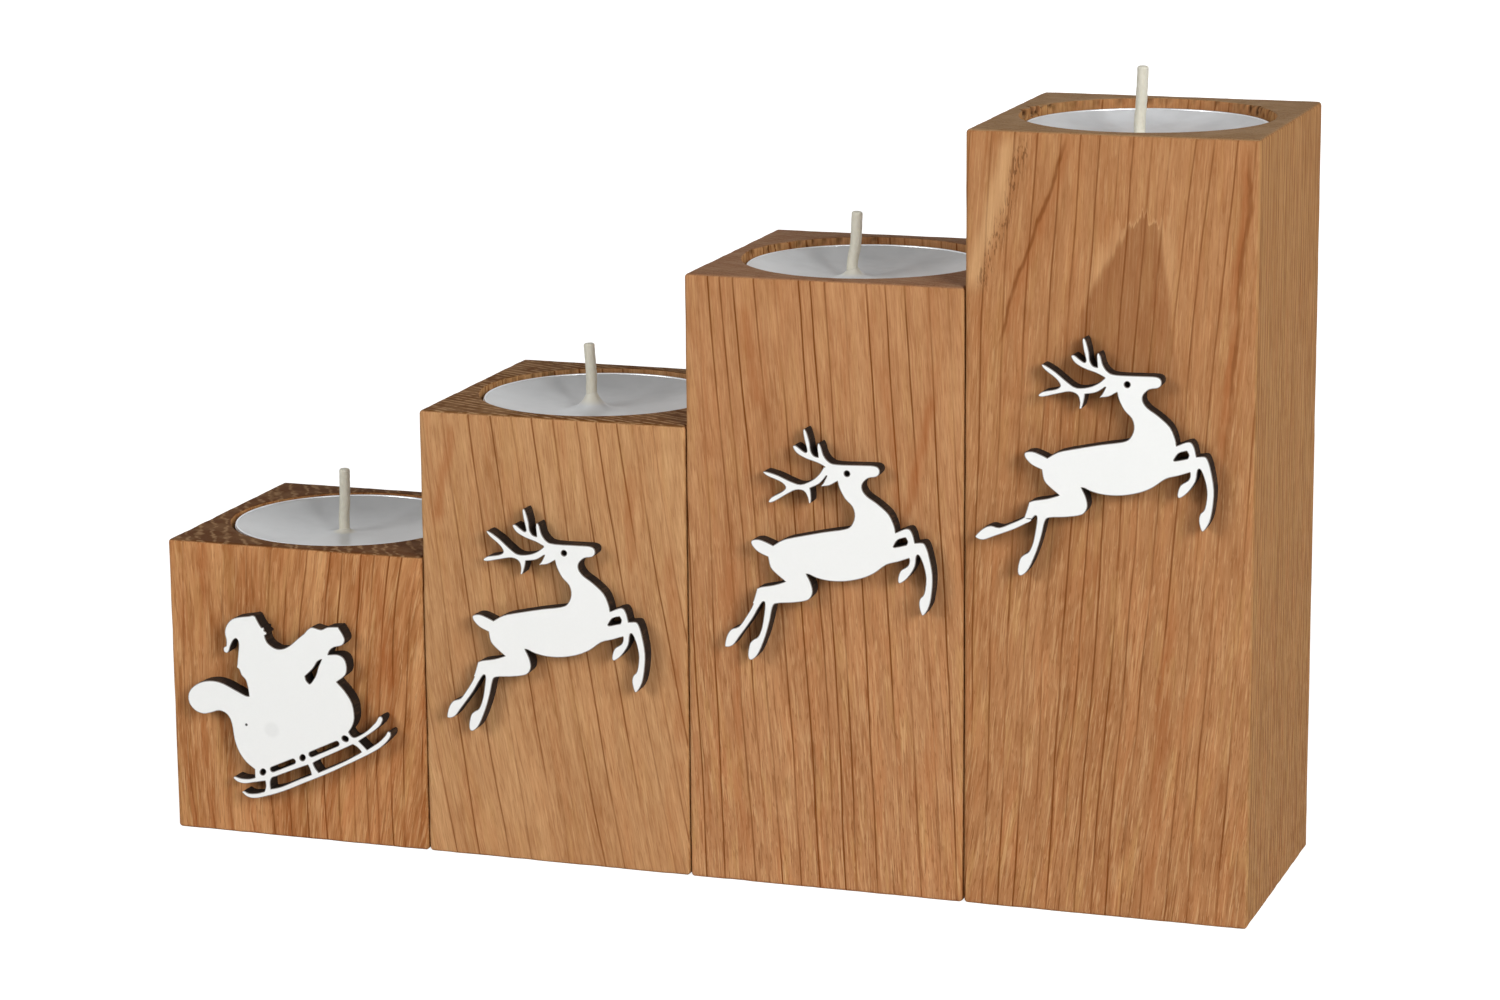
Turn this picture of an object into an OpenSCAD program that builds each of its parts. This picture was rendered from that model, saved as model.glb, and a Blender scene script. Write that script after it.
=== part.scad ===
// Advent candle holder: four loose oak blocks of rising height, each with a tealight in a
// drilled well and a flat cut-out figure glued to its front. Origin under the middle of the
// row, X along the row, figures facing -Y, Z up.

/* [Blocks] */
// Thickness of the oak beside a well where it is thinnest, which sets the width of a block
well_wall = 2.9; // [2:0.1:8]
// Height of the lowest block
first_block_height = 50; // [42:0.5:80]
// How much taller each block is than the one on its left
block_step = 24.6; // [12:0.2:40]
// Gap between neighbouring blocks where they stand side by side
block_gap = 0.2; // [0.1:0.05:2]
// Chamfer that eases every outer edge of a block
block_ease = 0.6; // [0.2:0.1:1.5]

/* [Wells] */
// Gap all round between the wall of a flat-bottomed well and the rim of its tealight
well_clearance = 0.7; // [0.3:0.1:2]
// How far the rim of each tealight lies below the top of its block, from the left
rim_sink = [0.2, 0.65, 1.1, 1.5]; // [0:0.05:3]
// Chamfer round the mouth of a well
well_ease = 0.3; // [0.1:0.1:0.8]
// Diameter of the mark that the drill's point leaves in the middle of the floor
drill_mark_d = 3; // [1:0.5:6]
// Depth of that mark
drill_mark_depth = 1.2; // [0.4:0.2:3]

/* [Tealight cups] */
// Diameter over the rolled rim
rim_d = 38.6; // [37.6:0.1:39]
// Diameter of the rolled bead that makes the rim
rim_bead_d = 0.7; // [0.6:0.05:1.2]
// Height of a cup
cup_height = 16; // [12:0.5:20]
// How much smaller the radius of a cup is at its foot than over its rim
cup_taper = 0.8; // [0.7:0.1:2]
// Sheet thickness of a cup
cup_wall = 0.3; // [0.2:0.05:0.35]
// Chamfer between the foot and the wall of a cup
cup_foot_ease = 0.8; // [0.5:0.1:1.5]

/* [Wax] */
// How far the edge of the wax lies below the rim
wax_edge_drop = 0.5; // [0.3:0.1:3]
// How far the dish in the wax sinks below its edge
wax_dish = 2; // [0.5:0.1:3]
// How far the wax climbs the wick out of the dish
wax_cone = 0.7; // [0.2:0.1:1.5]

/* [Wicks] */
// Diameter of a wick
wick_d = 1.85; // [1.2:0.05:2.4]
// How far the tip of each wick stands above the rim, from the left
wick_rise = [8.9, 8.7, 8.5, 9.2]; // [4:0.1:12]
// How far each wick has strayed along the row where it leaves the wax
wick_stray_low = [-1, -1.5, -2.3, -1.2]; // [-3:0.1:3]
// How far each wick has strayed along the row half way up from the wax to its tip
wick_stray_mid = [-0.8, -1.6, -1.75, -1]; // [-3:0.05:3]
// How far the tip of each wick has strayed along the row
wick_stray_tip = [-0.7, -1.95, -1.5, -0.8]; // [-3:0.05:3]
// Diameter of the tin disc that holds the wick upright
sustainer_d = 13; // [9:0.5:16]
// Thickness of that disc
sustainer_t = 0.3; // [0.2:0.05:0.6]
// Wall of the crimped tube on the disc
tube_wall = 0.4; // [0.2:0.05:0.8]
// Height of the crimped tube above the disc
tube_height = 4; // [2:0.5:6]

/* [Figures] */
// Thickness of the board that the figures are cut from
board_t = 3; // [2:0.1:5]
// Thickness of the white lacquered skin on the face of the board
skin_t = 0.15; // [0.1:0.05:0.4]
// Length of the sleigh figure
sleigh_length = 37; // [30:0.5:40]
// Distance from the left side of its block to the sleigh
sleigh_inset = 4.2; // [2:0.1:6]
// Height of the sleigh's lower runner above the table
sleigh_rise = 7.2; // [2:0.1:9]
// Height of a reindeer figure
deer_height = 38; // [30:0.5:40]
// Distance from the left side of each block to its reindeer's body
deer_inset = [5.6, 7.3, 6.05]; // [4:0.05:8]
// Distance from the top of each block down to its reindeer's highest antler tip
deer_drop = [14.65, 23.15, 31.05]; // [6:0.05:32]
// Degrees by which each reindeer's rear antler is turned down about the head
antler_turn = [-1, 16.5, 1]; // [-5:0.5:20]
// Degrees by which each reindeer's rear hind leg is swung up about the hock
hock_turn = [0, 0, 31]; // [0:1:45]
// Degrees by which each whole reindeer is glued nose down
deer_tilt = [1.1, 0, 0.9]; // [-3:0.1:3]
// Diameter of a reindeer's eye
deer_eye_d = 0.92; // [0.6:0.02:1.2]

/* [Fits] */
// Gap between solids that lie inside one another in a tealight
fit_gap = 0.05; // [0.02:0.01:0.1]
// How much wider a bend in a wick is than the wick
bend_swell = 0.04; // [0.02:0.01:0.08]

/* [Hidden] */
$fn = 96;
// Steps between two given points of a smooth outline, and of the turned wax surface
outline_steps = 3;
wax_steps = 4;
// Degrees between two points of a slot's round end
slot_turn = 22.5;
// Overrun of a cut past the face that it opens
cut = 0.5;

block_count = len(rim_sink);
well_d = rim_d + 2 * well_clearance;
block_side = well_d + 2 * well_wall;
cup_foot_r = rim_d / 2 - cup_taper;
block_pitch = block_side + block_gap;
row_depth = block_side + board_t;
block_y = row_depth / 2 - block_side / 2;
front_y = block_y - block_side / 2;
core_t = board_t - skin_t;

rim_inner_r = rim_d / 2 - rim_bead_d;
cup_floor = cup_wall;
foot_inner_r = cup_foot_r - cup_wall;
wax_r = rim_inner_r - fit_gap;
wax_top = cup_height - wax_edge_drop;
tube_d = wick_d + 2 * fit_gap + 2 * tube_wall;
tube_top = cup_floor + sustainer_t + tube_height;
wax_at_wick = wax_top - wax_dish + wax_cone;

// Surface of the wax from the wick out to the cup: share of the wax radius, and height as a
// share of the dish depth with the cone's own share of its height added by the third value
wax_surface_shares = [
    [0, 0, 1], [0.05, 0, 1], [0.09, 0, 0.55], [0.15, 0, 0.2], [0.25, 0, 0.04], [0.4, 0.04, 0],
    [0.6, 0.17, 0], [0.78, 0.4, 0], [0.9, 0.64, 0], [0.97, 0.85, 0], [1, 1, 0]
];

// The reindeer: every outline is a list of smooth runs, each from one sharp corner up to the
// next. Places are shares of the figure's height, from its left hoof and lowest hoof.
deer_body_shares = [
    // upper antler with its first two tines
    [[0.446, 0.846], [0.41, 0.862], [0.36, 0.877], [0.322, 0.897], [0.305, 0.922],
     [0.317, 0.929], [0.343, 0.911], [0.36, 0.902], [0.367, 0.912], [0.356, 0.954],
     [0.35, 0.99], [0.356, 1], [0.366, 0.986], [0.378, 0.945], [0.383, 0.91],
     [0.396, 0.89]],
    // third tine, brow, muzzle, throat and chest
    [[0.416, 0.885], [0.411, 0.93], [0.417, 0.944], [0.427, 0.93], [0.438, 0.895],
     [0.46, 0.869], [0.495, 0.86], [0.6, 0.863], [0.655, 0.864], [0.676, 0.854],
     [0.679, 0.834], [0.665, 0.818], [0.63, 0.81], [0.606, 0.786], [0.605, 0.76],
     [0.625, 0.734], [0.67, 0.705], [0.719, 0.663], [0.742, 0.615]],
    // raised knee of the rear foreleg
    [[0.747, 0.588], [0.787, 0.607], [0.808, 0.606], [0.822, 0.583]],
    // both forelegs, from the near knee round both hooves to the chest
    [[0.83, 0.55], [0.863, 0.554], [0.878, 0.538], [0.892, 0.495], [0.906, 0.42],
     [0.903, 0.345], [0.892, 0.288], [0.871, 0.25], [0.858, 0.252], [0.848, 0.29],
     [0.853, 0.318], [0.87, 0.34], [0.878, 0.4], [0.869, 0.452], [0.85, 0.497],
     [0.837, 0.496], [0.83, 0.45], [0.8, 0.402], [0.768, 0.376], [0.757, 0.388],
     [0.768, 0.428], [0.798, 0.45], [0.807, 0.47]],
    // belly, back to the flank
    [[0.806, 0.485], [0.76, 0.467], [0.708, 0.45], [0.655, 0.41], [0.6, 0.384],
     [0.53, 0.367], [0.46, 0.364], [0.405, 0.373], [0.375, 0.385]],
    // thigh and near hind leg, round its hoof and up to the stump of the rear leg
    [[0.36, 0.387], [0.379, 0.352], [0.388, 0.313], [0.376, 0.283], [0.35, 0.269],
     [0.29, 0.258], [0.23, 0.251], [0.212, 0.234], [0.199, 0.174], [0.179, 0.104],
     [0.15, 0.033], [0.125, 0.003], [0.107, 0.002], [0.102, 0.026], [0.111, 0.07],
     [0.128, 0.089], [0.148, 0.103], [0.165, 0.146], [0.177, 0.22], [0.178, 0.25],
     [0.171, 0.255], [0.16, 0.243]],
    [[0.153, 0.231]],
    [[0.125, 0.245], [0.136, 0.281]],
    [[0.144, 0.309], [0.165, 0.318], [0.22, 0.33]],
    // rump, tail, back and nape up to the ear
    [[0.27, 0.348], [0.234, 0.374], [0.204, 0.404]],
    [[0.194, 0.448], [0.152, 0.465], [0.124, 0.492], [0.122, 0.513], [0.153, 0.52],
     [0.19, 0.509]],
    [[0.216, 0.498], [0.262, 0.526], [0.33, 0.545], [0.44, 0.571], [0.525, 0.588],
     [0.556, 0.606], [0.571, 0.645], [0.562, 0.685], [0.53, 0.717], [0.506, 0.76]],
    [[0.498, 0.79], [0.463, 0.769]],
    [[0.426, 0.763], [0.44, 0.784]],
    [[0.452, 0.809]]
];
// The rear antler, before it is turned about its root
deer_antler_shares = [
    [[0.448, 0.845], [0.42, 0.821], [0.38, 0.803], [0.33, 0.798], [0.292, 0.819],
     [0.245, 0.856], [0.202, 0.882], [0.185, 0.884], [0.2, 0.863], [0.244, 0.831],
     [0.263, 0.803], [0.243, 0.787], [0.192, 0.775], [0.172, 0.759], [0.19, 0.753],
     [0.255, 0.77], [0.302, 0.78], [0.335, 0.768], [0.344, 0.738], [0.343, 0.714],
     [0.353, 0.718], [0.363, 0.754]],
    [[0.365, 0.774], [0.405, 0.781], [0.432, 0.795]],
    [[0.447, 0.807]],
    [[0.48, 0.815]],
    [[0.48, 0.845]]
];
antler_root_share = [0.445, 0.81];
// The rear hind leg below its hock, before it is swung up
deer_leg_shares = [
    [[0.133, 0.259], [0.12, 0.226], [0.092, 0.18], [0.063, 0.14], [0.03, 0.126],
     [0.01, 0.098], [0, 0.058], [0.007, 0.047], [0.036, 0.057], [0.066, 0.098],
     [0.12, 0.174]],
    [[0.156, 0.239]]
];
hock_share = [0.137, 0.243];
// The gap between the chest and the rear foreleg
deer_gap_shares = [
    [[0.738, 0.53], [0.757, 0.559]],
    [[0.79, 0.571], [0.799, 0.555]],
    [[0.794, 0.54], [0.746, 0.527]]
];
deer_eye_share = [0.539, 0.824];

// The rider in the sleigh. Places are shares of the figure's length, from the sleigh's back
// and the lower runner.
sleigh_shares = [
    // tip of the cap, its brim, a nose, the beard and the sleeve
    [[0.346, 0.85], [0.366, 0.815]],
    [[0.376, 0.801], [0.387, 0.8]],
    [[0.388, 0.787], [0.4, 0.779], [0.396, 0.769]],
    [[0.389, 0.766], [0.402, 0.734], [0.436, 0.711], [0.472, 0.709], [0.51, 0.727],
     [0.554, 0.765]],
    [[0.584, 0.789], [0.605, 0.812], [0.627, 0.821], [0.667, 0.813], [0.7, 0.827]],
    // mitten, and the scroll at the sleigh's front
    [[0.75, 0.832], [0.77, 0.803], [0.781, 0.774], [0.767, 0.749], [0.728, 0.737],
     [0.708, 0.722]],
    [[0.697, 0.7], [0.742, 0.705], [0.774, 0.69], [0.787, 0.651], [0.778, 0.612]],
    // front board down to the upper runner and out to its tip
    [[0.735, 0.578], [0.773, 0.54], [0.808, 0.485], [0.817, 0.42], [0.805, 0.378]],
    [[0.787, 0.351], [0.803, 0.331], [0.825, 0.332], [0.876, 0.364], [0.918, 0.406],
     [0.935, 0.433], [0.949, 0.435], [0.954, 0.418], [0.934, 0.386], [0.89, 0.351]],
    [[0.834, 0.313]],
    // lower runner, out to its tip and back along its underside
    [[0.874, 0.276], [0.93, 0.315], [0.964, 0.349], [0.977, 0.369], [0.991, 0.365],
     [0.986, 0.339], [0.942, 0.293], [0.87, 0.248], [0.76, 0.19], [0.66, 0.139],
     [0.57, 0.098], [0.46, 0.047], [0.367, 0.014], [0.31, 0.001], [0.275, 0.006]],
    [[0.251, 0.025], [0.262, 0.031], [0.285, 0.022], [0.325, 0.025]],
    [[0.363, 0.037], [0.371, 0.062]],
    // rear end of the upper runner
    [[0.369, 0.088], [0.315, 0.076], [0.265, 0.066], [0.23, 0.072]],
    [[0.211, 0.087], [0.219, 0.096], [0.25, 0.089], [0.29, 0.09]],
    [[0.319, 0.099]],
    // sleigh body up to the scroll at its back
    [[0.319, 0.138], [0.278, 0.167], [0.244, 0.212], [0.223, 0.27], [0.212, 0.345],
     [0.19, 0.385], [0.152, 0.398], [0.113, 0.386], [0.072, 0.377], [0.03, 0.391],
     [0.003, 0.425], [0.003, 0.468], [0.03, 0.503], [0.075, 0.527], [0.125, 0.535],
     [0.175, 0.527], [0.235, 0.501], [0.285, 0.479]],
    // rider's back, collar, the fold of the cap and its bobble
    [[0.304, 0.478], [0.298, 0.52], [0.289, 0.552], [0.269, 0.573], [0.26, 0.597]],
    [[0.248, 0.607], [0.254, 0.655], [0.261, 0.715], [0.252, 0.74], [0.237, 0.735],
     [0.221, 0.708]],
    [[0.213, 0.683], [0.202, 0.67], [0.187, 0.676], [0.186, 0.694]],
    [[0.199, 0.703], [0.2, 0.732], [0.194, 0.766], [0.205, 0.801], [0.233, 0.83],
     [0.272, 0.842], [0.315, 0.849], [0.334, 0.854]]
];
// The openings in the sleigh figure: under the arm, and two between the runners
arm_gap_shares = [
    [[0.667, 0.678], [0.649, 0.641], [0.635, 0.6], [0.612, 0.565]],
    [[0.601, 0.559], [0.587, 0.573]],
    [[0.582, 0.593], [0.621, 0.63], [0.644, 0.664]]
];
rear_window_shares = [
    [[0.395, 0.052], [0.394, 0.085], [0.403, 0.105]],
    [[0.42, 0.112], [0.505, 0.149]],
    [[0.582, 0.181], [0.591, 0.165]],
    [[0.599, 0.137], [0.525, 0.104], [0.45, 0.068]]
];
front_window_shares = [
    [[0.608, 0.192], [0.64, 0.211], [0.718, 0.25]],
    [[0.806, 0.295], [0.828, 0.284]],
    [[0.848, 0.264], [0.764, 0.214]],
    [[0.634, 0.15], [0.616, 0.172]]
];
// Slots and dots along the sleigh's foot: from, to and half the width
slot_shares = [
    [[0.357, 0.126], [0.361, 0.131], 0.0125],
    [[0.408, 0.145], [0.51, 0.191], 0.0115],
    [[0.556, 0.21], [0.559, 0.215], 0.0125],
    [[0.601, 0.232], [0.727, 0.292], 0.0115],
    [[0.766, 0.32], [0.773, 0.318], 0.0125]
];

wooden = [for (k = [1:block_count]) str("block_", k)];
candle = [for (k = [1:block_count]) each [
    str("tealight_cup_", k), str("tealight_wax_", k),
    str("tealight_wick_", k), str("wick_sustainer_", k)]];
deer = [for (k = [1:len(deer_inset)]) each [
    str("reindeer_core_", k), str("reindeer_face_", k)]];

function block_height(k) = first_block_height + (k - 1) * block_step;
function block_x(k) = (k - (block_count + 1) / 2) * block_pitch;
function well_floor(k) = block_height(k) - rim_sink[k - 1] - cup_height;

// A point of the smooth curve from b to c, with a and d as the points before and after
function curve(a, b, c, d, t) = 0.5 * (2 * b + (c - a) * t
    + (2 * a - 5 * b + 4 * c - d) * t * t + (3 * b - a - 3 * c + d) * t * t * t);
function smooth(points, steps) = len(points) < 3 ? [points[0]] :
    [for (i = [0:len(points) - 2], s = [0:steps - 1])
        curve(points[max(i - 1, 0)], points[i], points[i + 1],
            points[min(i + 2, len(points) - 1)], s / steps)];
// Runs that follow one another round a closed outline
function closed(runs, steps) = [for (i = [0:len(runs) - 1])
    each smooth(concat(runs[i], [runs[(i + 1) % len(runs)][0]]), steps)];

module shape(shares, size) {
    polygon(closed(shares, outline_steps) * size);
}

// A flat piece of reindeer k, turned by degrees about a place and tilted with the whole figure
module deer_piece(k, degrees, place_share) {
    eye = deer_eye_share * deer_height;
    place = place_share * deer_height;
    translate(eye) rotate(-deer_tilt[k - 1]) translate(place - eye) rotate(degrees)
        translate(-place) children();
}

// A slot with a round end about each of two places
module slot(from, to, r) {
    bearing = atan2(to.y - from.y, to.x - from.x);
    polygon([for (end = [[to, bearing], [from, bearing + 180]], a = [-90:slot_turn:90])
        end[0] + r * [cos(end[1] + a), sin(end[1] + a)]]);
}

// A square with eased corners, from the origin
module eased_square(size, ease) {
    polygon([
        [ease, 0], [size.x - ease, 0], [size.x, ease], [size.x, size.y - ease],
        [size.x - ease, size.y], [ease, size.y], [0, size.y - ease], [0, ease]]);
}

module eased_bar(height) {
    translate([-block_side / 2, -block_side / 2, 0]) intersection() {
        linear_extrude(height) eased_square([block_side, block_side], block_ease);
        translate([0, block_side, 0]) rotate([90, 0, 0])
            linear_extrude(block_side) eased_square([block_side, height], block_ease);
        rotate([90, 0, 90]) linear_extrude(block_side)
            eased_square([block_side, height], block_ease);
    }
}

module block(k) {
    height = block_height(k);
    color("#b07b49") translate([block_x(k), block_y, 0]) difference() {
        eased_bar(height);
        translate([0, 0, well_floor(k)]) cylinder(h = height - well_floor(k) + cut, d = well_d);
        translate([0, 0, height - well_ease])
            cylinder(h = 2 * well_ease, r1 = well_d / 2, r2 = well_d / 2 + 2 * well_ease);
        translate([0, 0, well_floor(k) - drill_mark_depth])
            cylinder(h = drill_mark_depth * 2, r1 = 0, r2 = drill_mark_d);
    }
}

// Moves a piece of a tealight into its well
module in_well(k) {
    translate([block_x(k), block_y, well_floor(k)]) children();
}

module tealight_cup(k) {
    rim_z = cup_height - rim_bead_d / 2;
    wall_r = rim_inner_r + cup_wall;
    color("#d8dade") in_well(k) rotate_extrude() {
        polygon([
            [0, 0], [cup_foot_r - cup_foot_ease, 0], [cup_foot_r, cup_foot_ease],
            [wall_r + cup_wall / 2, rim_z], [wall_r - cup_wall / 2, rim_z],
            [foot_inner_r, cup_foot_ease], [foot_inner_r - cup_foot_ease + cup_floor, cup_floor],
            [0, cup_floor]]);
        translate([rim_d / 2 - rim_bead_d / 2, rim_z]) circle(d = rim_bead_d);
    }
}

// Centre line of a wick: through the tube, out of the wax and up to its tip
function wick_route(k) = let (
        z_low = wax_at_wick, z_tip = cup_height + wick_rise[k - 1]) [
    [0, 0, cup_floor + sustainer_t],
    [0, 0, tube_top + wick_d / 2],
    [wick_stray_low[k - 1], 0, z_low],
    [wick_stray_mid[k - 1], 0, (z_low + z_tip) / 2],
    [wick_stray_tip[k - 1], 0, z_tip]];

// A round rod along a route, with round bends
module rod(route, d) {
    for (i = [0:len(route) - 2]) {
        reach = route[i + 1] - route[i];
        translate(route[i]) rotate([0, acos(reach.z / norm(reach)), atan2(reach.y, reach.x)])
            cylinder(h = norm(reach), d = d);
        if (i > 0) translate(route[i]) sphere(d = d + bend_swell);
    }
}

module tealight_wick(k) {
    color("#e9e6dc") in_well(k) rod(wick_route(k), wick_d);
}

module wick_sustainer(k) {
    color("#9aa0a6") in_well(k) translate([0, 0, cup_floor]) difference() {
        union() {
            cylinder(h = sustainer_t, d = sustainer_d);
            cylinder(h = sustainer_t + tube_height, d = tube_d);
        }
        translate([0, 0, sustainer_t]) cylinder(h = tube_height + cut, d = wick_d + 2 * fit_gap);
    }
}

module tealight_wax(k) {
    surface = smooth([for (p = wax_surface_shares)
        [p[0] * wax_r, wax_top - wax_dish * (1 - p[1]) + wax_cone * p[2]]], wax_steps);
    color("#f2f1ee") in_well(k) difference() {
        rotate_extrude() polygon(concat(
            [[0, cup_floor], [foot_inner_r - cup_foot_ease, cup_floor],
             [foot_inner_r - fit_gap, cup_foot_ease + fit_gap], [wax_r, wax_top]],
            [for (i = [len(surface) - 1:-1:1]) surface[i]],
            [[0, wax_at_wick]]));
        translate([0, 0, cup_floor - cut])
            cylinder(h = cut + sustainer_t + fit_gap, d = sustainer_d + 2 * fit_gap);
        translate([0, 0, cup_floor - cut])
            cylinder(h = cut + sustainer_t + tube_height + fit_gap, d = tube_d + 2 * fit_gap);
        rod(wick_route(k), wick_d + 2 * fit_gap);
    }
}

module sleigh_outline() {
    difference() {
        shape(sleigh_shares, sleigh_length);
        shape(arm_gap_shares, sleigh_length);
        shape(rear_window_shares, sleigh_length);
        shape(front_window_shares, sleigh_length);
        for (s = slot_shares) slot(s[0] * sleigh_length, s[1] * sleigh_length, s[2] * sleigh_length);
    }
}

// The three pieces are cut to one thickness and joined as solids
module deer_plate(k, thickness) {
    linear_extrude(thickness) deer_piece(k, 0, deer_eye_share) difference() {
        shape(deer_body_shares, deer_height);
        shape(deer_gap_shares, deer_height);
        translate(deer_eye_share * deer_height) circle(d = deer_eye_d);
    }
    linear_extrude(thickness) deer_piece(k, antler_turn[k - 1], antler_root_share)
        shape(deer_antler_shares, deer_height);
    linear_extrude(thickness) deer_piece(k, -hock_turn[k - 1], hock_share)
        shape(deer_leg_shares, deer_height);
}

module sleigh_plate(thickness) {
    linear_extrude(thickness) sleigh_outline();
}

// Turns a flat figure upright on the front of block k, with its back a distance off the wood
module on_front(k, inset, rise, off) {
    translate([block_x(k) - block_side / 2 + inset, front_y - off, rise])
        rotate([90, 0, 0]) children();
}

module sleigh_core() {
    color("#3a2a20") on_front(1, sleigh_inset, sleigh_rise, 0) sleigh_plate(core_t);
}

module sleigh_face() {
    color("#f4f4f1") on_front(1, sleigh_inset, sleigh_rise, core_t) sleigh_plate(skin_t);
}

// Reindeer k stands on the block after it in the row
function deer_rise(k) = block_height(k + 1) - deer_drop[k - 1] - deer_height;

module reindeer_core(k) {
    color("#3a2a20") on_front(k + 1, deer_inset[k - 1], deer_rise(k), 0)
        deer_plate(k, core_t);
}

module reindeer_face(k) {
    color("#f4f4f1") on_front(k + 1, deer_inset[k - 1], deer_rise(k), core_t)
        deer_plate(k, skin_t);
}

for (k = [1:block_count]) {
    block(k);
    tealight_cup(k);
    tealight_wax(k);
    tealight_wick(k);
    wick_sustainer(k);
}
sleigh_core();
sleigh_face();
for (k = [1:len(deer_inset)]) {
    reindeer_core(k);
    reindeer_face(k);
}
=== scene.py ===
# Advent candle holder: four loose oak blocks in rising steps, each with a tealight in a
# drilled well, and a white cut-out figure glued to each front. All places are in metres, in
# the part's own frame: X along the row, figures facing -Y, Z up.
import math
from functools import partial

import bpy
from mathutils import Matrix, Vector, geometry, noise


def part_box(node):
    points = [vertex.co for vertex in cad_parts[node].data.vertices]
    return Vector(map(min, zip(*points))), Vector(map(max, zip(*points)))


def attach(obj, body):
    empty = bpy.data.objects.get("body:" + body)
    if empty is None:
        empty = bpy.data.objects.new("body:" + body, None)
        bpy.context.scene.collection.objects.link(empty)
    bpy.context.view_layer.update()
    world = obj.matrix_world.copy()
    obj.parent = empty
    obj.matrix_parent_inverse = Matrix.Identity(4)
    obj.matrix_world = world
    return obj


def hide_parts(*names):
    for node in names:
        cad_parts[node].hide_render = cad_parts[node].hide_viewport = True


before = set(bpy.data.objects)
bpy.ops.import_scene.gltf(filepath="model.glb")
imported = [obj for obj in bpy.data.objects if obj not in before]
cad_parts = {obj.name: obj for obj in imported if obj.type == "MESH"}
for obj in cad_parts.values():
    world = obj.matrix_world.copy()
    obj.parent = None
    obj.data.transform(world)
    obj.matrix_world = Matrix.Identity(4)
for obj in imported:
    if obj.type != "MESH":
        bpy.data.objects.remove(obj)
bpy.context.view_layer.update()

MM = 0.001
BLOCKS = (1, 2, 3, 4)
DEER = (1, 2, 3)
QUARTER = math.pi / 2


# Camera

LENS = 103.34
SENSOR = 36.0
CAMERA_PLACE = Vector((0.2275, -0.6500, 0.2142))
CAMERA_TURN = math.radians(19.02)
CAMERA_LIFT = math.radians(12.78)
CAMERA_ROLL = math.radians(-0.489)


def add_camera():
    """Looks at the row from the front right and a little above, as the photograph does"""
    data = bpy.data.cameras.new("camera")
    data.lens = LENS
    data.sensor_width = SENSOR
    camera = bpy.data.objects.new("camera", data)
    flat = math.cos(CAMERA_LIFT)
    back = Vector((math.sin(CAMERA_TURN) * flat, -math.cos(CAMERA_TURN) * flat, math.sin(CAMERA_LIFT)))
    right = Vector((math.cos(CAMERA_TURN), math.sin(CAMERA_TURN), 0))
    up = back.cross(right)
    across = right * math.cos(CAMERA_ROLL) + up * math.sin(CAMERA_ROLL)
    above = up * math.cos(CAMERA_ROLL) - right * math.sin(CAMERA_ROLL)
    turn = Matrix((across, above, back)).transposed().to_4x4()
    camera.matrix_world = Matrix.Translation(CAMERA_PLACE) @ turn
    bpy.context.scene.collection.objects.link(camera)
    bpy.context.scene.camera = camera


# Node trees

# Kinds of node, with the operation of those that have one
PLUS = "Math ADD"
MINUS = "Math SUBTRACT"
TIMES = "Math MULTIPLY"
TIMES_PLUS = "Math MULTIPLY_ADD"
POSITIVE = "Math ABSOLUTE"
LEAST = "Math MINIMUM"
MOST = "Math MAXIMUM"
ABOVE = "Math GREATER_THAN"
WHOLE = "Math ROUND"
VECTOR_MINUS = "VectorMath SUBTRACT"
VECTOR_TIMES = "VectorMath MULTIPLY"
VECTOR_SCALE = "VectorMath SCALE"
VECTOR_LENGTH = "VectorMath LENGTH"
VECTOR_POSITIVE = "VectorMath ABSOLUTE"
JOIN = "CombineXYZ"
SPLIT = "SeparateXYZ"
NOISE = "TexNoise"
RANDOM = "TexWhiteNoise"
MIX = "Mix"
PLACE = "TexCoord"
ATTRIBUTE = "Attribute"
MAPPING = "Mapping"
BUMP = "Bump"
SURFACE = "BsdfPrincipled"
# Turns one span of values into another, or into 0 to 1 where no other is given
RANGE = "MapRange"
SMOOTH = {"interpolation_type": "SMOOTHSTEP"}


def colour(text):
    """An sRGB hex colour as the linear values that a shader takes"""
    parts = [int(text[i:i + 2], 16) / 255 for i in (1, 3, 5)]
    return tuple(p / 12.92 if p <= 0.04045 else ((p + 0.055) / 1.055) ** 2.4 for p in parts) + (1,)


def add_node(tree, kind, *values, named=None, output=None, **settings):
    """Adds a node and gives its output. Values go to its inputs in turn, or by name: an output
    is linked, anything else is set, and None leaves the input alone. Below, add is this function
    for one tree."""
    kind, _, operation = kind.partition(" ")
    node = tree.nodes.new("ShaderNode" + kind)
    if operation:
        node.operation = operation
    for key, value in settings.items():
        setattr(node, key, value)
    pairs = list(zip([socket for socket in node.inputs if socket.enabled], values))
    pairs += [(node.inputs[key], value) for key, value in (named or {}).items()]
    for socket, value in pairs:
        if isinstance(value, bpy.types.NodeSocket):
            tree.links.new(value, socket)
        elif value is not None:
            socket.default_value = value
    if output:
        return node.outputs[output]
    return next((socket for socket in node.outputs if socket.enabled), None)


def new_material(name, paint, node=None):
    """A material whose nodes paint(add, place) adds, giving its surface. place is where a point
    lies in millimetres, from the middle of a node or else from the origin."""
    made = bpy.data.materials.new(name)
    made.use_nodes = True
    made.node_tree.nodes.clear()
    add = partial(add_node, made.node_tree)
    middle = sum(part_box(node), Vector()) / 2 if node else Vector()
    place = add(VECTOR_MINUS, add(PLACE, output="Object"), middle)
    add("OutputMaterial", paint(add, add(VECTOR_SCALE, place, 1 / MM)))
    return made


def grains(add, place, size, detail=1.0):
    """A noise from 0 to 1 whose grains have a size in millimetres"""
    return add(NOISE, add(VECTOR_TIMES, place, tuple(1 / s for s in size)), 1.0, detail)


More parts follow.
